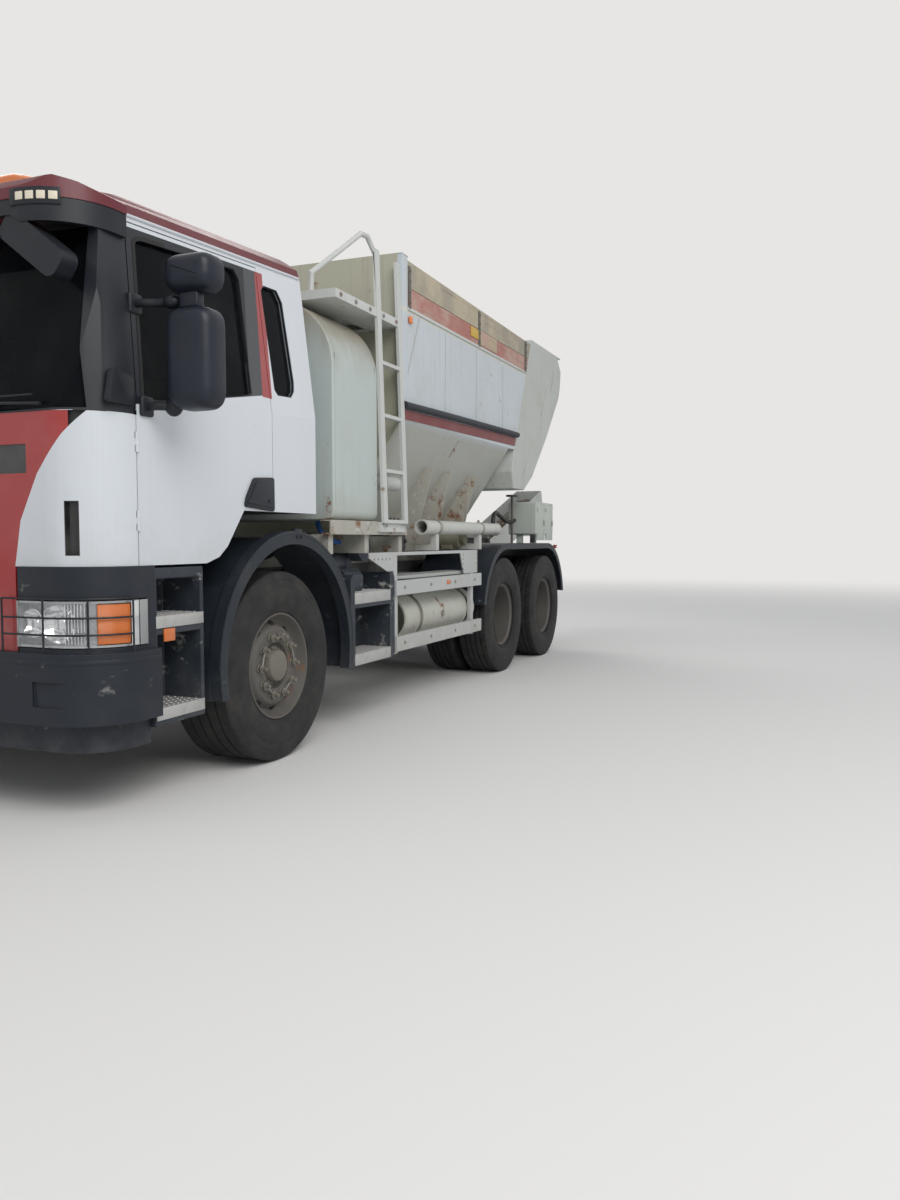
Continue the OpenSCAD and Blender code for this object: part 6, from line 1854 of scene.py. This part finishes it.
    def guard_details(self) -> None:
        """Treads of the battery box's steps, bolts of the guard rails, and the marker on the left rail."""
        tread = Form()
        for z in (0.490, 0.892):
            tread.box((0.890, -1.219, z + 0.001), (1.400, -0.992, z + 0.008), 0.002)
            tread.box((0.874, -1.2255, z - 0.066), (1.404, -1.2195, z + 0.008), 0.002)
            tread.studs((0.912, -1.198, z + 0.006), (0.036, 0.044), (14, 5), z + 0.0115)
        tread.fix("box_step_treads", "guard_alloy", Finishes.TREAD_PLATE)
        bolts = Form()
        for x in (1.62, 2.10, 2.60, 3.05):
            for z in (0.505, 0.905):
                bolts.bolts([(x, -1.2355, z)], (0, -1, 0), 0.009, 0.007)
        bolts.both_sides().fix("guard_rail_bolts", "frame_paint", Finishes.BOLT)
        markers = Form().box((2.420, -1.2400, 0.890), (2.500, -1.2345, 0.925), 0.003)
        markers.fix("guard_markers", "amber_lens", Finishes.AMBER)

    def tank_details(self) -> None:
        """The water tank's hatch and vent, and its weld seams."""
        form = Form()
        form.rod((0.915, -0.30, 2.736), (0.915, -0.30, 2.775), 0.150, sides=48, bevel=0.006)
        form.rod((0.915, -0.30, 2.775), (0.915, -0.30, 2.786), 0.120, sides=48, bevel=0.004)
        form.rod((0.700, 0.80, 2.736), (0.700, 0.80, 2.786), 0.030, sides=24, bevel=0.004)
        form.fix("tank_hatch", "tank_paint", Finishes.GALVANISED)
        weld = Form()
        for x in (0.640, 1.190):
            weld.pipe([(x, -1.2215, z) for z in (1.46, 2.0, 2.40)], 0.004, 6, 4)
        weld.both_sides().fix("tank_weld_seams", "tank_paint", Finishes.TANK)


@dataclass
class Hose:
    """A rubber hose that leaves the truck at one fitting and goes back in at another."""

    name: str
    places: tuple[Point, ...]
    radius: float
    finish: Finish

    def build(self) -> None:
        """Makes the tube."""
        line = spline(self.places, 4)
        length = sum((b - a).length for a, b in zip(line, line[1:]))
        tube = Form().pipe(self.places, self.radius, 14, 4)
        obj = tube.fix(self.name, "black_plastic", self.finish)


# --------------------------------------------------------------------------- studio


@dataclass
class Studio:
    """Camera, floor, world and lamps."""

    camera_place: Point = (-4.512, -4.078, 1.247)
    yaw: float = 22.11
    pitch: float = -3.69
    focal_pixels: float = 936.5
    photo_height: float = 1200.0
    backdrop: Colour = (0.80, 0.79, 0.775)
    lamp_size: float = 8.0
    lamp_aim: Point = (2.0, 0.0, 1.2)

    def build(self) -> None:
        """Sets up all that isn't part of the truck."""
        self.camera()
        self.floor()
        self.world()
        self.lamps()
        bpy.context.scene.view_settings.view_transform = "Standard"

    def camera(self) -> None:
        """Stands the camera where the photograph was taken."""
        data = bpy.data.cameras.new("photo_camera")
        data.sensor_width = 36.0
        data.lens = self.focal_pixels * data.sensor_width / self.photo_height
        data.clip_end = 200.0
        cam = bpy.data.objects.new("photo_camera", data)
        yaw, pitch = math.radians(self.yaw), math.radians(self.pitch)
        ahead = Vector((math.cos(pitch) * math.cos(yaw), math.cos(pitch) * math.sin(yaw), math.sin(pitch)))
        cam.rotation_euler = ahead.to_track_quat("-Z", "Y").to_euler()
        cam.location = moved(self.camera_place)
        bpy.context.scene.collection.objects.link(cam)
        bpy.context.scene.camera = cam

    def floor(self) -> None:
        """Lays a pale floor."""
        bm = bmesh.new()
        bmesh.ops.create_grid(bm, x_segments=1, y_segments=1, size=80.0)
        mesh = bpy.data.meshes.new("studio_floor")
        bm.to_mesh(mesh)
        bm.free()
        obj = bpy.data.objects.new("studio_floor", mesh)
        bpy.context.scene.collection.objects.link(obj)
        kit = MaterialKit("studio_floor")
        kit.set(Base_Color=self.backdrop, Roughness=0.9, Specular_IOR_Level=0.1)
        x, y = kit.axis("x"), kit.axis("y")
        far = (x * x + y * y).root().rise(7.0, 24.0)
        seen = Value(kit, kit.node("ShaderNodeLightPath").outputs["Is Camera Ray"])
        glow = kit.node("ShaderNodeEmission", values={"Color": self.backdrop, "Strength": 1.0})
        blend = kit.node("ShaderNodeMixShader", values={
            0: far * seen, 1: kit.shader.outputs[0], 2: glow.outputs[0]})
        kit.tree.links.new(blend.outputs[0], kit.out.inputs[0])
        mesh.materials.append(kit.material)

    def world(self) -> None:
        """A plain world: pale behind the truck, a little dimmer as light on it."""
        world = bpy.data.worlds.new("studio")
        world.use_nodes = True
        bpy.context.scene.world = world
        tree = world.node_tree
        tree.nodes.clear()
        ray = add_node(tree, "ShaderNodeLightPath").outputs
        seen: bpy.types.NodeSocket = ray["Is Camera Ray"]
        for kind in ("Is Glossy Ray", "Is Transmission Ray"):
            seen = add_node(tree, "ShaderNodeMath", {"operation": "MAXIMUM"}, {0: seen, 1: ray[kind]}).outputs[0]
        light = add_node(tree, "ShaderNodeBackground", values={0: (0.93, 0.96, 1.0), 1: 0.52})
        pale = add_node(tree, "ShaderNodeBackground", values={0: self.backdrop, 1: 1.0})
        mix = add_node(tree, "ShaderNodeMixShader", values={0: seen, 1: light.outputs[0], 2: pale.outputs[0]})
        add_node(tree, "ShaderNodeOutputWorld", values={0: mix.outputs[0]})

    def lamps(self) -> None:
        """Two large soft lamps: one high on the left front, one weaker behind."""
        for name, place, power in (("key", (-6.0, -9.0, 9.0), 930.0), ("rim", (9.0, 8.0, 9.0), 420.0)):
            data = bpy.data.lights.new(name, "AREA")
            data.energy = power
            data.size = self.lamp_size
            data.color = (1.0, 0.985, 0.96)
            obj = bpy.data.objects.new(name, data)
            spot = moved(place)
            obj.rotation_euler = (moved(self.lamp_aim) - spot).to_track_quat("-Z", "Y").to_euler()
            obj.location = spot
            bpy.context.scene.collection.objects.link(obj)


HOSES = (
    Hose("suction_hose",
         ((1.370, -0.985, 1.278), (1.373, -0.985, 1.330), (1.360, -0.985, 1.395), (1.320, -0.985, 1.440),
          (1.275, -0.985, 1.462), (1.218, -0.985, 1.470)), 0.016, Finishes.HOSE),
    Hose("water_hose",
         ((0.760, -1.020, 1.366), (0.765, -1.025, 1.325), (0.820, -1.030, 1.275), (0.960, -1.010, 1.240),
          (1.120, -0.985, 1.228), (1.220, -0.970, 1.232), (1.287, -0.965, 1.237)), 0.015, Finishes.BLUE_HOSE),
    Hose("bin_hose",
         ((3.900, -1.100, 1.398), (3.905, -1.100, 1.440), (3.950, -1.095, 1.488), (4.060, -1.080, 1.503),
          (4.250, -1.060, 1.470), (4.500, -1.030, 1.432), (4.720, -1.000, 1.430), (4.903, -0.985, 1.450)),
         0.020, Finishes.HOSE),
)


def build(frame: dict) -> None:
    """Builds all the looks.
    """
    low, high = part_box("tyre_front_left")
    Form.mid_x = -(low.x + high.x) / 2
    Studio().build()
    for hose in HOSES:
        hose.build()
    CadSkin(frame).dress()
    Headlamps().build()
    CabTrim().build()
    MixerTrim().build()
    for side in Side:
        Mirror(side).build()
        Seat(side).build()
        FrontRim(side).build()
        Wheel(f"wheel_front_{side.word}", f"tyre_front_{side.word}", 0.0, 1.0425, 1.072, 0.385, side).build()
        for place, x in (("mid", 3.9), ("rear", 5.25)):
            Wheel(f"wheels_{place}_{side.word}", f"tyres_{place}_{side.word}", x, 1.085, 1.076, 0.300, side,
                  twin=0.345, blocks=64).build()


def main() -> None:
    """Loads the frame and builds the looks."""
    logging.basicConfig(level=logging.INFO, format="%(name)s: %(message)s")
    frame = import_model()
    build(frame)


if __name__ == "__main__":
    main()
